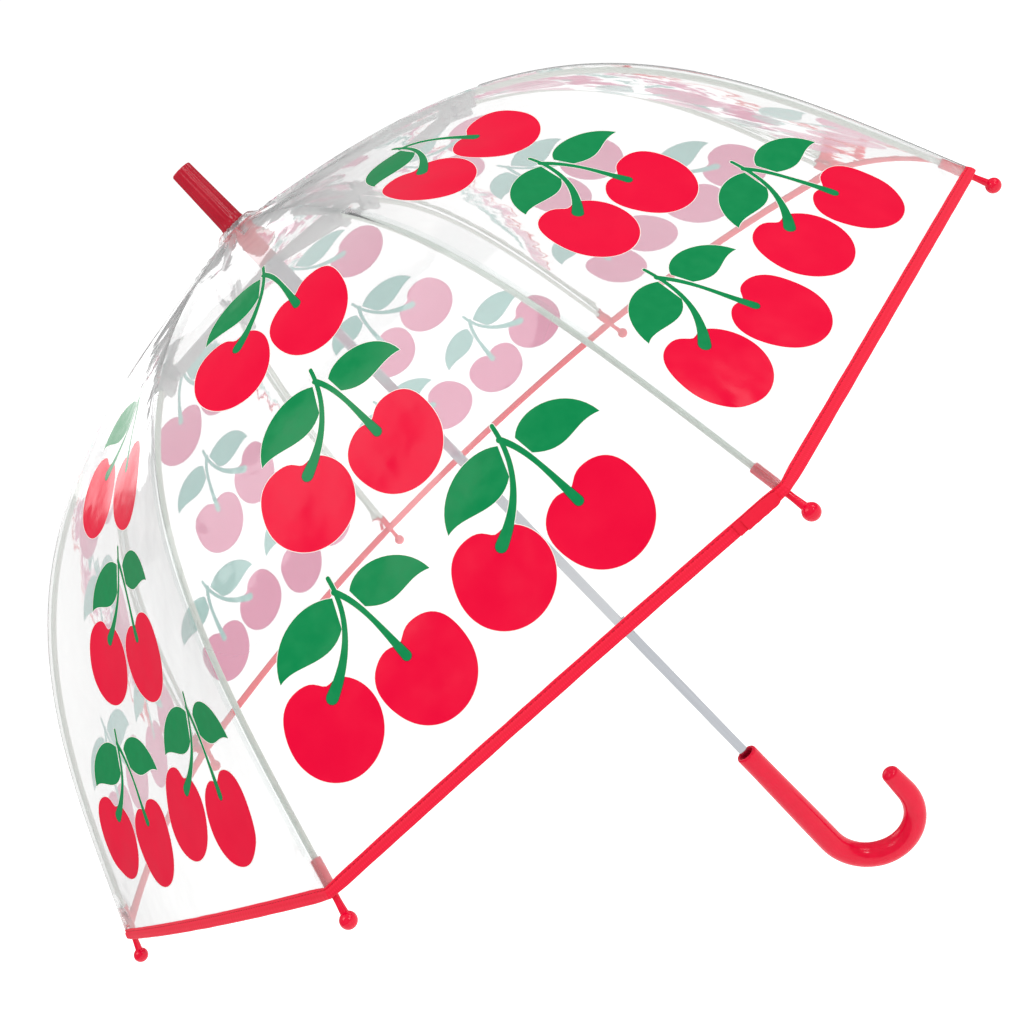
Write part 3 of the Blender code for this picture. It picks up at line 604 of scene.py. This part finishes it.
# The print, in metres on the flat film: x across and y down from where the two stalks part
cherries = {
    # name: (centre, radius, notch direction, left and right shoulder)
    "right": ((0.0131, 0.0594), 0.0240, -98, (0.13, 0.17)),
    "left": ((-0.0389, 0.0496), 0.0246, -66, (0.13, 0.01)),
}
leaves = {
    # two curves, from the stalk to the point and back
    "left": (
        ((-0.0028, -0.0005), (-0.0180, -0.0120), (-0.0420, -0.0040), (-0.0477, 0.0156)),
        ((-0.0477, 0.0156), (-0.0360, 0.0115), (-0.0220, 0.0260), (-0.0079, 0.0147)),
    ),
    "right": (
        ((0.0059, 0.0026), (0.0150, -0.0080), (0.0400, 0.0000), (0.0434, 0.0217)),
        ((0.0434, 0.0217), (0.0300, 0.0160), (0.0220, 0.0270), (0.0076, 0.0139)),
    ),
}
stalks = {
    # a curve, with the stalk's half width at its start, middle and end
    "left": (
        ((0.0012, -0.0098), (-0.0004, 0.0060), (-0.0060, 0.0240), (-0.0313, 0.0372)),
        (0.0011, 0.0014, 0.0032),
    ),
    "right": (
        ((-0.0004, -0.0022), (0.0068, 0.0100), (0.0074, 0.0260), (0.0094, 0.0462)),
        (0.0016, 0.0013, 0.0024),
    ),
}
# where the stalks part on the gore, the motif's turn in degrees, and whether it has its right leaf
motifs = (
    ((0.0120, 0.1490), 2.0, False),
    ((0.0047, 0.2486), 0.0, True),
    ((0.0572, 0.3455), 0.0, True),
    ((-0.0502, 0.3449), 0.0, True),
)
printing = {
    "base": 0.00035,          # the white base ink stands out this far round each colour
    "edge": 0.00030,          # dark line where a stalk overprints its cherry
    # how far the print is shifted on single gores
    "register": {8: (-0.0043, 0.0022), 7: (0.0013, 0.0), 6: (0.0030, -0.0021)},
}


def cherryOutline(name):
    (x, y), radius, notch, (leftShoulder, rightShoulder) = cherries[name]
    points = []
    for index in range(72):
        angle = index * 5
        away = (angle - notch + 180) % 360 - 180
        swell = leftShoulder * math.exp(-((away + 50) / 30) ** 2)
        swell += rightShoulder * math.exp(-((away - 50) / 30) ** 2)
        dip = 0.17 * math.exp(-(away / 13) ** 2)
        reach = radius * (1 + swell - dip)
        turn = math.radians(angle)
        points.append((x + reach * math.cos(turn), y + reach * math.sin(turn)))
    return points


def curvePoints(handles, count):
    corners = [Vector((*handle, 0)) for handle in handles]
    return [(p.x, p.y) for p in geometry.interpolate_bezier(*corners, count)]


def leafOutline(name):
    over, under = leaves[name]
    return curvePoints(over, 18) + curvePoints(under, 18)[1:]


def stalkOutline(name, grow=0.0):
    handles, (start, middle, end) = stalks[name]
    line = [Vector(p) for p in curvePoints(handles, 22)]
    left, right = [], []
    for index, point in enumerate(line):
        share = index / (len(line) - 1)
        if share < 0.5:
            half = start + (middle - start) * share * 2
        else:
            half = middle + (end - middle) * (share * 2 - 1) ** 1.6
        before, after = line[max(0, index - 1)], line[min(len(line) - 1, index + 1)]
        run = (after - before).normalized()
        side = Vector((-run.y, run.x)) * (grow + half)
        left.append(point + side)
        right.append(point - side)
    outline = left + roundEnd(line[-1], left[-1]) + right[::-1] + roundEnd(line[0], right[0])
    return [(p.x, p.y) for p in outline]


def roundEnd(centre, start):
    # Half a turn of points from start about centre
    arm = start - centre
    return [centre + Matrix.Rotation(-math.pi * i / 6, 2) @ arm for i in range(1, 6)]


def anticlockwise(outline):
    area = sum(a[0] * b[1] - b[0] * a[1] for a, b in zip(outline, outline[1:] + outline[:1]))
    return outline if area > 0 else outline[::-1]


def grown(outline, distance):
    # The outline moved out along its own normals
    points = [Vector(p) for p in anticlockwise(outline)]
    moved = []
    for before, point, after in zip(points[-1:] + points[:-1], points, points[1:] + points[:1]):
        run = (after - before).normalized()
        moved.append(point + Vector((run.y, -run.x)) * distance)
    return [(p.x, p.y) for p in moved]


def motifShapes(withRightLeaf):
    # (layer, outline): higher layers print over lower ones
    red = [cherryOutline(name) for name in cherries]
    green = [stalkOutline(name) for name in stalks]
    green += [leafOutline(name) for name in leaves if withRightLeaf or name == "left"]
    shapes = [(1, grown(outline, printing["base"])) for outline in red + green]
    shapes += [(2, outline) for outline in red]
    shapes += [(3, stalkOutline(name, printing["edge"])) for name in stalks]
    shapes += [(4, outline) for outline in green]
    return shapes


def layOutGore(register):
    # One flat gore as triangles, with each triangle's ink layer.
    # Its rib lines, middle line, hem and fold are edges
    stops = [alongOf(canopy["startArc"]), alongOf(ribs["flexArc"]), alongOf(canopy["hemArc"])]
    rows = []
    for low, high in zip(stops, stops[1:]):
        count = round((high - low) / canopy["rowStep"])
        rows += [low + (high - low) * i / count for i in range(count)]
    rows.append(stops[-1])
    foldRow = min(range(len(rows)), key=lambda i: abs(rows[i] - stops[1]))
    wide = canopy["columns"]
    points, edges, faces, layers = [], [], [], []
    for along in rows:
        width = float(halfWidthAt(along))
        points += [Vector((width * (2 * j / wide - 1), along)) for j in range(wide + 1)]
    for i in range(len(rows) - 1):
        for j in (0, wide // 2, wide):
            edges.append((i * (wide + 1) + j, (i + 1) * (wide + 1) + j))
    for i in (0, foldRow, len(rows) - 1):
        for j in range(wide):
            edges.append((i * (wide + 1) + j, i * (wide + 1) + j + 1))
    for (x, y), turn, withRightLeaf in motifs:
        spin = Matrix.Rotation(math.radians(turn), 2)
        for layer, outline in motifShapes(withRightLeaf):
            first = len(points)
            placed = [spin @ Vector(p) for p in anticlockwise(outline)]
            points += [Vector((p.x + x + register[0], p.y + y + register[1])) for p in placed]
            faces.append(list(range(first, len(points))))
            layers.append(layer)
    made = geometry.delaunay_2d_cdt(points, edges, faces, 0, 1e-7, True)
    flat, triangles, sources = made[0], made[2], made[5]
    inks = []
    for source in sources:
        found = {layers[i] for i in source}
        if 3 in found and 2 not in found:
            found.discard(3)
        inks.append(max(found, default=0))
    return flat, triangles, inks, stops


filmFinishes = [clearFilm, baseInk, cherryInk, edgeInk, leafInk]


def foldWith(piece):
    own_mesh(piece)


def makeCanopy():
    layouts = {}
    for gore in range(1, ribCount + 1):
        register = printing["register"].get(gore, (0.0, 0.0))
        if register not in layouts:
            layouts[register] = layOutGore(register)
        flat, triangles, inks, stops = layouts[register]
        points = [gorePoint(gore, p.x, p.y) for p in flat]
        step = 0.0008
        normals = []
        for p in flat:
            width = float(halfWidthAt(p.y))
            x = max(-width + step, min(width - step, p.x))
            across = gorePoint(gore, x + step, p.y) - gorePoint(gore, x - step, p.y)
            along = gorePoint(gore, x, p.y + step) - gorePoint(gore, x, p.y - step)
            normals.append(across.cross(along).normalized() * -1)
        for level in ("upper", "lower"):
            for half in (-1, 1):
                # The half on the minus side hangs on this gore's first rib
                number = gore if half < 0 else gore % ribCount + 1
                chosen = []
                for triangle, ink in zip(triangles, inks):
                    x = sum(flat[i].x for i in triangle) / 3
                    y = sum(flat[i].y for i in triangle) / 3
                    if x * half > 0 and (y < stops[1]) == (level == "upper"):
                        chosen.append((triangle, ink))
                shape = bmesh.new()
                made = {}
                for triangle, ink in chosen:
                    for i in triangle:
                        if i not in made:
                            made[i] = shape.verts.new(points[i])
                    face = shape.faces.new([made[i] for i in reversed(triangle)])
                    face.material_index = ink
                    face.smooth = True
                name = f"film_{number}_{level}_{'a' if half < 0 else 'b'}"
                mesh = bpy.data.meshes.new(name)
                order = list(made)
                shape.to_mesh(mesh)
                shape.free()
                for finish in filmFinishes:
                    mesh.materials.append(finish)
                mesh.normals_split_custom_set_from_vertices([normals[i] for i in order])
                piece = bpy.data.objects.new(name, mesh)
                bpy.context.scene.collection.objects.link(piece)
                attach(piece, f"rib_{number}_{level}")
                if half < 0:
                    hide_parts(f"film_{number}_{level}")
                foldWith(piece)
    print("canopy made")


makeCanopy()


seams = {
    "halfWidth": 0.0026,
    "halfHeight": 0.00025,
    "rise": 0.0003,            # above the film
    "topGap": 0.004,
    "hemGap": 0.006,
    "sides": 12,
    "step": 0.006,
}


def makeSeams():
    # A welded strip over each rod covers the join of two gores
    first, last = ribs["flexArc"] + seams["topGap"], canopy["hemArc"] - seams["hemGap"]
    count = round((last - first) / seams["step"])
    for number in range(1, ribCount + 1):
        frames = []
        for i in range(count + 1):
            arc = first + (last - first) * i / count
            wander = 1 + 0.12 * noise.noise(Vector((arc * 60, number, 0)))
            lift = canopy["lift"] + seams["rise"]
            frames.append((ribFrame(number, arc, lift), seams["halfWidth"] * wander, seams["halfHeight"]))
        shape = addSweep(bmesh.new(), frames, seams["sides"])
        finishShape(f"seam_{number}", shape, [weldedFilm], f"rib_{number}_lower")
    print("seams made")


makeSeams()


hem = {
    "halfWidth": 0.0034,
    "halfThickness": 0.0009,
    "overlap": 0.0022,         # centre of the binding above the film's edge
    "groove": 0.75,            # the stitches pull the binding this much thinner
    "grooveHalf": 0.0006,
    "sides": 32,
    "ringStep": 0.0011,
    "stitchPitch": 0.0029,
    "stitchHalf": 0.00095,
    "stitchRadius": 0.00028,
    "stitchInset": 0.0019,     # from the binding's centre towards the film
}


def hemFrame(gore, share, inset=0.0, lift=0.0):
    # Local X runs along the hem, local Y up the film and local Z out of it
    along = alongOf(canopy["hemArc"]) - hem["overlap"] - inset
    width = float(halfWidthAt(along))
    near = 0.004
    here = gorePoint(gore, share * width, along, lift)
    before = gorePoint(gore, max(-1, share - near) * width, along, lift)
    after = gorePoint(gore, min(1, share + near) * width, along, lift)
    run = (after - before).normalized()
    if abs(share) > 0.999:
        # At a rib both gores' bindings end square to the rib, so that they meet
        azimuth = (gore - 0.5) * stepAngle + math.copysign(halfGore, share)
        run = Vector((-math.sin(azimuth), math.cos(azimuth), 0))
    up = (gorePoint(gore, share * width, along - 0.004, lift) - here).normalized()
    out = run.cross(up).normalized()
    up = out.cross(run)
    return Matrix((run, up, out)).transposed().to_4x4(), here


def makeHem():
    for gore in range(1, ribCount + 1):
        for half in (-1, 1):
            number = gore if half < 0 else gore % ribCount + 1
            side = "a" if half < 0 else "b"
            width = float(halfWidthAt(alongOf(canopy["hemArc"])))
            count = round(width / hem["ringStep"])
            frames = []
            for i in range(count + 1):
                share = half * (1 - i / count)
                turn, here = hemFrame(gore, share)
                pinch = math.exp(-((1 - abs(share)) * width / 0.007) ** 2)
                pucker = math.cos(2 * math.pi * share * width / hem["stitchPitch"])
                thick = hem["halfThickness"] * (1 + 0.10 * pucker + 0.5 * pinch)
                wander = noise.noise(Vector((gore, share * 9, 0)))
                wide = hem["halfWidth"] * (1 - 0.16 * pinch + 0.04 * wander)
                frames.append((Matrix.Translation(here) @ turn, wide, thick))
            shape = addSweep(bmesh.new(), frames, hem["sides"], corner=0.55, caps=False)
            shape.verts.ensure_lookup_table()
            for index, (matrix, wide, thick) in enumerate(frames):
                # A groove along the stitch line
                for vert in shape.verts[index * hem["sides"]:(index + 1) * hem["sides"]]:
                    local = matrix.inverted() @ vert.co
                    pull = math.exp(-((local.y - hem["stitchInset"]) / hem["grooveHalf"]) ** 2)
                    local.z *= 1 - hem["groove"] * pull
                    vert.co = matrix @ local
            layer = shape.loops.layers.uv.new("tape")
            shape.verts.ensure_lookup_table()
            for face in shape.faces:
                for loop in face.loops:
                    ring, spot = divmod(loop.vert.index, hem["sides"])
                    across = hem["halfWidth"] * math.sin(2 * math.pi * spot / hem["sides"])
                    loop[layer].uv = (ring * hem["ringStep"], across)
            tape = finishShape(f"hem_{number}_{side}", shape, [tapeCloth], f"rib_{number}_lower")
            foldWith(tape)
            rows = bmesh.new()
            stitches = int(width / hem["stitchPitch"])
            for i in range(stitches):
                share = half * (1 - (i + 0.5) / stitches)
                for face in (-1, 1):
                    turn, here = hemFrame(gore, share, hem["stitchInset"])
                    off = Matrix.Translation((0, 0, face * hem["halfThickness"] * (1 - hem["groove"])))
                    size = Matrix.Diagonal((hem["stitchHalf"], hem["stitchRadius"], hem["stitchRadius"], 1))
                    lie = Matrix.Rotation(math.pi / 2, 4, "Y")
                    place = Matrix.Translation(here) @ turn @ off @ size @ lie
                    bmesh.ops.create_uvsphere(rows, u_segments=6, v_segments=4, radius=1, matrix=place)
            sewing = finishShape(f"stitches_{number}_{side}", rows, [thread], f"rib_{number}_lower")
            foldWith(sewing)
    print("hem made")


makeHem()


tie = {
    "gore": 7,
    "shares": (0.965, 0.80),   # of the gore's half width
    "halfWidth": 0.0031,
    "halfThickness": 0.00045,
    "lift": 0.0016,
    "drop": 0.0008,            # below the binding's centre
    "rings": 26,
}


def makeTie():
    # The closing tie, folded flat and sewn to the binding beside one rib
    first, last = tie["shares"]
    for layer in (0, 1):
        frames = []
        for i in range(tie["rings"] + 1):
            share = first + (last + 0.03 * layer - first) * i / tie["rings"]
            wave = 0.00006 * math.sin(i * 0.9 + layer)
            lift = tie["lift"] + layer * 0.0011 + wave
            turn, here = hemFrame(tie["gore"], share, -tie["drop"] * (1 + 0.6 * layer) + wave, lift)
            wide = tie["halfWidth"] * (1 - 0.35 * math.exp(-i / 1.5))
            frames.append((Matrix.Translation(here) @ turn, wide, tie["halfThickness"]))
        shape = addSweep(bmesh.new(), frames, 24, corner=0.5)
        strap = finishShape(f"closing_tie_{layer}", shape, [tapeCloth], "rib_8_lower")
        foldWith(strap)
    print("tie made")


makeTie()


tips = {
    "sleeveStart": 0.451,
    "sleeveRadius": 0.0027,
    "shoulder": 0.4665,
    "stemRadius": 0.0018,
    "ballArc": 0.483,
    "ballRadius": 0.0044,
    "steps": 40,
}


def makeTips():
    start = tips["sleeveStart"]
    centre = tips["ballArc"] - start
    shoulder = tips["shoulder"] - start
    bore = ribs["rodRadius"] + 0.0002
    depth = ribs["rodEnd"] - start
    sleeve, stem, ball = tips["sleeveRadius"], tips["stemRadius"], tips["ballRadius"]
    meet = math.asin(stem * 1.15 / ball)
    # (radius, distance down the rib): the bore, the sleeve, its shoulder, the stem and the ball
    profile = [(0, depth), (bore, depth), (bore, 0.0006), (bore + 0.0002, 0)]
    profile += [(sleeve - 0.0003, 0), (sleeve, 0.0004), (sleeve, shoulder - 0.0022)]
    profile += [(sleeve - 0.00015, shoulder - 0.0012), (stem + 0.0003, shoulder - 0.0002)]
    profile += [(stem, shoulder + 0.0006), (stem * 0.97, (shoulder + centre - ball) / 2 + 0.0004)]
    for i in range(21):
        sweep = meet + (math.pi - meet) * i / 20
        profile.append((ball * math.sin(sweep), centre - ball * math.cos(sweep)))
    profile[-1] = (0, centre + ball)
    for number in range(1, ribCount + 1):
        place = ribFrame(number, start) @ Matrix.Rotation(math.pi / 2, 4, "Y")
        shape = addTurned(bmesh.new(), profile, tips["steps"], place)
        tip = finishShape(f"rib_tip_{number}", shape, [redAbs], f"rib_{number}_lower")
        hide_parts(f"tip_{number}")
    print("tips made")


makeTips()


def makeRods():
    first, last = ribs["flexArc"] + 0.0004, ribs["rodEnd"]
    radius = ribs["rodRadius"]
    for number in range(1, ribCount + 1):
        frames = [(ribFrame(number, first), radius * 0.55, radius * 0.55)]
        arcs = np.linspace(first + radius * 0.4, last, 46)
        frames += [(ribFrame(number, float(arc)), radius, radius) for arc in arcs]
        shape = addSweep(bmesh.new(), frames, ribs["rodSides"])
        rod = finishShape(f"rod_{number}", shape, [glassFibre], f"rib_{number}_lower")
        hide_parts(f"rib_{number}_lower")
    print("rods made")


makeRods()


rivet = {
    "radius": 0.0017,
    "dome": 0.0008,
    "outside": 0.00125,        # the stretcher's face, from its middle
    "inside": -0.0022,         # the bracket's far face
    "steps": 20,
}


def pinPoint(number, side=0.0):
    return ribFrame(number, ribs["pivotArc"]) @ Vector((0, side, -ribs["pivotDrop"]))


def makeRivets():
    # A domed head on each side of the bracket and stretcher
    profile = [(0, 0), (rivet["radius"], 0)]
    for i in range(1, 6):
        sweep = math.pi / 2 * i / 6
        profile.append((rivet["radius"] * math.cos(sweep), rivet["dome"] * math.sin(sweep)))
    profile += [(0, rivet["dome"])]
    for number in range(1, ribCount + 1):
        shape = bmesh.new()
        for side, flip in ((ribs["stretcherSide"] + rivet["outside"], -1), (rivet["inside"], 1)):
            base = ribFrame(number, ribs["pivotArc"]) @ Matrix.Translation((0, side, -ribs["pivotDrop"]))
            place = base @ Matrix.Rotation(flip * math.pi / 2, 4, "X")
            addTurned(shape, profile, rivet["steps"], place)
        finishShape(f"rivet_{number}", shape, [wireSteel], f"rib_{number}_upper")
    print("rivets made")


makeRivets()


socketGap = 0.0003             # round the shaft, in the handle and the ferrule

grip = {
    "half": 0.048,             # of the straight grip, about the origin
    "topRadius": 0.0081,
    "hookRadius": 0.0090,
    "tipRadius": 0.0068,
    "bend": 0.0337,
    "reach": 0.0216,
    "azimuth": math.radians(12),
    "taperStart": 0.4,
    "socket": 0.036,
    "lip": 0.0018,
    "sides": 48,
}


def makeHandle():
    turn = Matrix.Rotation(grip["azimuth"], 4, "Z")
    half, lip, bend = grip["half"], grip["lip"], grip["bend"]
    frames = []

    def add(x, z, angle, radius):
        place = turn @ Matrix.Translation((x, 0, z)) @ Matrix.Rotation(angle, 4, "Y")
        frames.append((place, radius, radius))

    # Up the socket, over the rounded lip, down the grip and round the hook
    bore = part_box("shaft")[1].x + socketGap
    add(0, half - grip["socket"], math.pi / 2, bore)
    add(0, half - 0.004, math.pi / 2, bore)
    add(0, half - 0.0026, math.pi / 2, bore + 0.0006)
    inner, outer = bore + 0.0013, grip["topRadius"]
    crest = (outer - inner) / 2
    for i in range(0, 9):
        sweep = math.pi * i / 8
        add(0, half - lip + lip * math.sin(sweep), math.pi / 2, inner + crest - crest * math.cos(sweep))
    for i in range(1, 13):
        share = i / 12
        z = half - lip + share * (lip - 2 * half)
        add(0, z, math.pi / 2, outer + (grip["hookRadius"] - outer) * share * share * (3 - 2 * share))
    for i in range(1, 41):
        share = i / 40
        angle = math.pi * share
        taper = max(0, share - grip["taperStart"])
        radius = grip["hookRadius"] + (grip["tipRadius"] - grip["hookRadius"]) * taper
        add(bend * (1 - math.cos(angle)), -half - bend * math.sin(angle), math.pi / 2 - angle, radius)
    dome = grip["tipRadius"] * 0.8
    low = -half + grip["reach"] - dome
    for i in range(1, 5):
        share = i / 4
        slimmer = radius + (grip["tipRadius"] - radius) * share
        add(2 * bend, -half + (low + half) * share, -math.pi / 2, slimmer)
    for i in range(1, 13):
        sweep = math.pi / 2 * i / 12.4
        add(2 * bend, low + dome * math.sin(sweep), -math.pi / 2, grip["tipRadius"] * math.cos(sweep))
    shape = addSweep(bmesh.new(), frames, grip["sides"])
    handle = finishShape("grip_and_hook", shape, [redAbs], "shaft")
    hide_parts("handle")
    print("handle made")


makeHandle()


cap = {
    "baseRadius": 0.0086,
    "endRadius": 0.0073,
    "edge": 0.0008,
    "flutes": 14,
    "fluteDepth": 0.00045,
    "sides": 168,
    "socket": 0.036,
}


def makeFerrule():
    low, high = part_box("ferrule")
    bottom, top = low.z, high.z
    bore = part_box("shaft")[1].x + socketGap
    edge, base, end = cap["edge"], cap["baseRadius"], cap["endRadius"]
    # (height, radius, share of the flutes' depth)
    levels = [(bottom + cap["socket"], bore, 0), (bottom, bore, 0), (bottom, base - edge, 0)]
    levels += [(bottom + edge * 0.3, base - edge * 0.2, 0), (bottom + edge, base, 0)]
    levels += [(bottom + edge * 2.4, base, 0), (bottom + edge * 3.2, base - 0.0002, 0.9)]
    for i in range(1, 12):
        share = i / 12
        z = bottom + edge * 3.2 + (top - edge * 1.2 - bottom - edge * 3.2) * share
        levels.append((z, base - 0.0002 + (end - base + 0.0002) * share, 1))
    levels += [(top - edge * 1.1, end, 1), (top - edge * 0.45, end - edge * 0.25, 0.7)]
    levels += [(top - edge * 0.1, end - edge * 0.7, 0.3), (top, end - edge * 1.1, 0)]
    shape = bmesh.new()
    loops = []
    for z, radius, depth in levels:
        ring = bmesh.ops.create_circle(shape, segments=cap["sides"], radius=1)
        for vert in ring["verts"]:
            azimuth = math.atan2(vert.co.y, vert.co.x)
            wave = 0.5 - 0.5 * math.cos(azimuth * cap["flutes"])
            reach = radius - cap["fluteDepth"] * depth * wave
            vert.co = Vector((vert.co.x * reach, vert.co.y * reach, z))
        loops.append(list({e for v in ring["verts"] for e in v.link_edges}))
    bridge(shape, loops)
    ferrule = finishShape("fluted_ferrule", shape, [darkAbs], "shaft", math.radians(50))
    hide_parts("ferrule")
    print("ferrule made")


makeFerrule()


gather = {
    "outerRadius": 0.0195,
    "sides": 320,
    "rings": 16,
    "pleats": 17,
    "pleatHeight": 0.0011,
    "rest": 0.0003,            # above the gores' line at its outer edge
    "shaftGap": 0.0004,
    "ferruleRadius": 0.0088,   # flat inside this, where the ferrule presses on it
    "cutSpare": 1.15,          # flat size over the drawn width
}


def makeGather():
    # Film bunched under the ferrule: a pleated skirt that lies over the tops of the gores
    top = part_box("film_collar")[1].z
    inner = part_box("shaft")[1].x + gather["shaftGap"]
    shape = bmesh.new()
    loops = []
    for i in range(gather["rings"] + 1):
        share = i / gather["rings"]
        radius = inner + (gather["outerRadius"] - inner) * share
        ring = bmesh.ops.create_circle(shape, segments=gather["sides"], radius=1)
        for vert in ring["verts"]:
            azimuth = math.atan2(vert.co.y, vert.co.x)
            wave = noise.noise(Vector((math.cos(azimuth) * 3.1, math.sin(azimuth) * 3.1, 4.2)))
            pleat = math.sin(azimuth * gather["pleats"] + 5 * wave + share * 1.2)
            crumple = noise.noise(Vector((math.cos(azimuth) * 9, math.sin(azimuth) * 9, share * 3)))
            free = min(1.0, max(0.0, (radius - 0.0070) / 0.006))
            fold = 0.5 + 0.5 * pleat * (0.6 + 0.5 * wave) + 0.25 * crumple
            lift = gather["pleatHeight"] * free * fold
            flat = max(0.0, radius - 0.0115)
            arc = max(0.0, radius - hingeRadius)
            rib = float(np.interp(arc, arcTable, heightTable)) + canopy["lift"] * 1.05
            drop = min(0.0, rib + gather["rest"] - top) * min(1.0, flat / 0.007)
            z = top + drop + lift * (1 - share ** 4)
            if radius < gather["ferruleRadius"]:
                z = top - 0.0002
            edge = radius * (1 + 0.05 * crumple * share)
            vert.co = Vector((vert.co.x * edge, vert.co.y * edge, z))
        loops.append(list({e for v in ring["verts"] for e in v.link_edges}))
    bridge(shape, loops, caps=False)
    piece = finishShape("film_gather", shape, [gatheredFilm], "shaft", math.radians(80))
    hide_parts("film_collar")
    print("gather made")


makeGather()


channel = {
    "width": 0.0026,
    "height": 0.0044,
    "wall": 0.0005,
    "runnerRadius": 0.0090,    # of the runner's wire
    "eyeInner": 0.0011,
    "eyeOuter": 0.0024,
    "squeeze": 0.55,           # of the height, at the eyes
}


def makeStretchers():
    # Folded steel strip: a channel, open below, that is pinched flat to an eye at each end
    ringLow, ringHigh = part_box("runner_wire")
    runnerHeight = (ringLow.z + ringHigh.z) / 2
    w, h, t = channel["width"] / 2, channel["height"] / 2, channel["wall"]
    bent = t * 0.6
    section = [(-w, -h), (-w, h - bent), (-w + bent, h), (w - bent, h), (w, h - bent), (w, -h)]
    section += [(w - t, -h), (w - t, h - t), (-w + t, h - t), (-w + t, -h)]
    inner, outer, pinched = channel["eyeInner"], channel["eyeOuter"], channel["squeeze"]
    eye = [(inner, -w), (outer, -w), (outer, w), (inner, w), (inner, -w)]
    for number in range(1, ribCount + 1):
        node = f"stretcher_{number}"
        turn = Matrix.Rotation((number - 1) * stepAngle, 4, "Z")
        start = turn @ Vector((channel["runnerRadius"], ribs["stretcherSide"], runnerHeight))
        end = pinPoint(number, ribs["stretcherSide"])
        run = end - start
        length = run.length
        run.normalize()
        side = turn.to_3x3() @ Vector((0, 1, 0))
        up = run.cross(side).normalized()
        base = Matrix.Translation(start) @ Matrix((run, side, up)).transposed().to_4x4()
        shape = bmesh.new()
        loops = []
        stations = ((0.0010, pinched), (0.0075, 1.0), (length - 0.0080, 1.0), (length - 0.0010, pinched))
        for x, squeeze in stations:
            verts = [shape.verts.new(base @ Vector((x, y, z * squeeze))) for y, z in section]
            loops.append([shape.edges.new(pair) for pair in zip(verts, verts[1:] + verts[:1])])
        bridge(shape, loops)
        for at in (0, length):
            place = base @ Matrix.Translation((at, 0, 0)) @ Matrix.Rotation(math.pi / 2, 4, "X")
            addTurned(shape, eye, 20, place)
        name = f"stretcher_channel_{number}"
        bar = finishShape(name, shape, [zinc], node, math.radians(30))
        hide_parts(node)
    print("stretchers made")


makeStretchers()


for name, finish, slot in (
    ("shaft", chrome, "chromed_shaft"),
    ("crown", crownAbs, "crown_plastic"),
    ("crown_wire", wireSteel, "steel_wire"),
    ("runner", greyPlastic, "runner_plastic"),
    ("runner_wire", wireSteel, "steel_wire"),
    ("top_catch", zinc, "spring_steel"),
    ("bottom_catch", zinc, "spring_steel"),
):
    keepNode(name, finish)
for number in range(1, ribCount + 1):
    keepNode(f"rib_{number}_upper", zinc)
print("frame nodes finished")
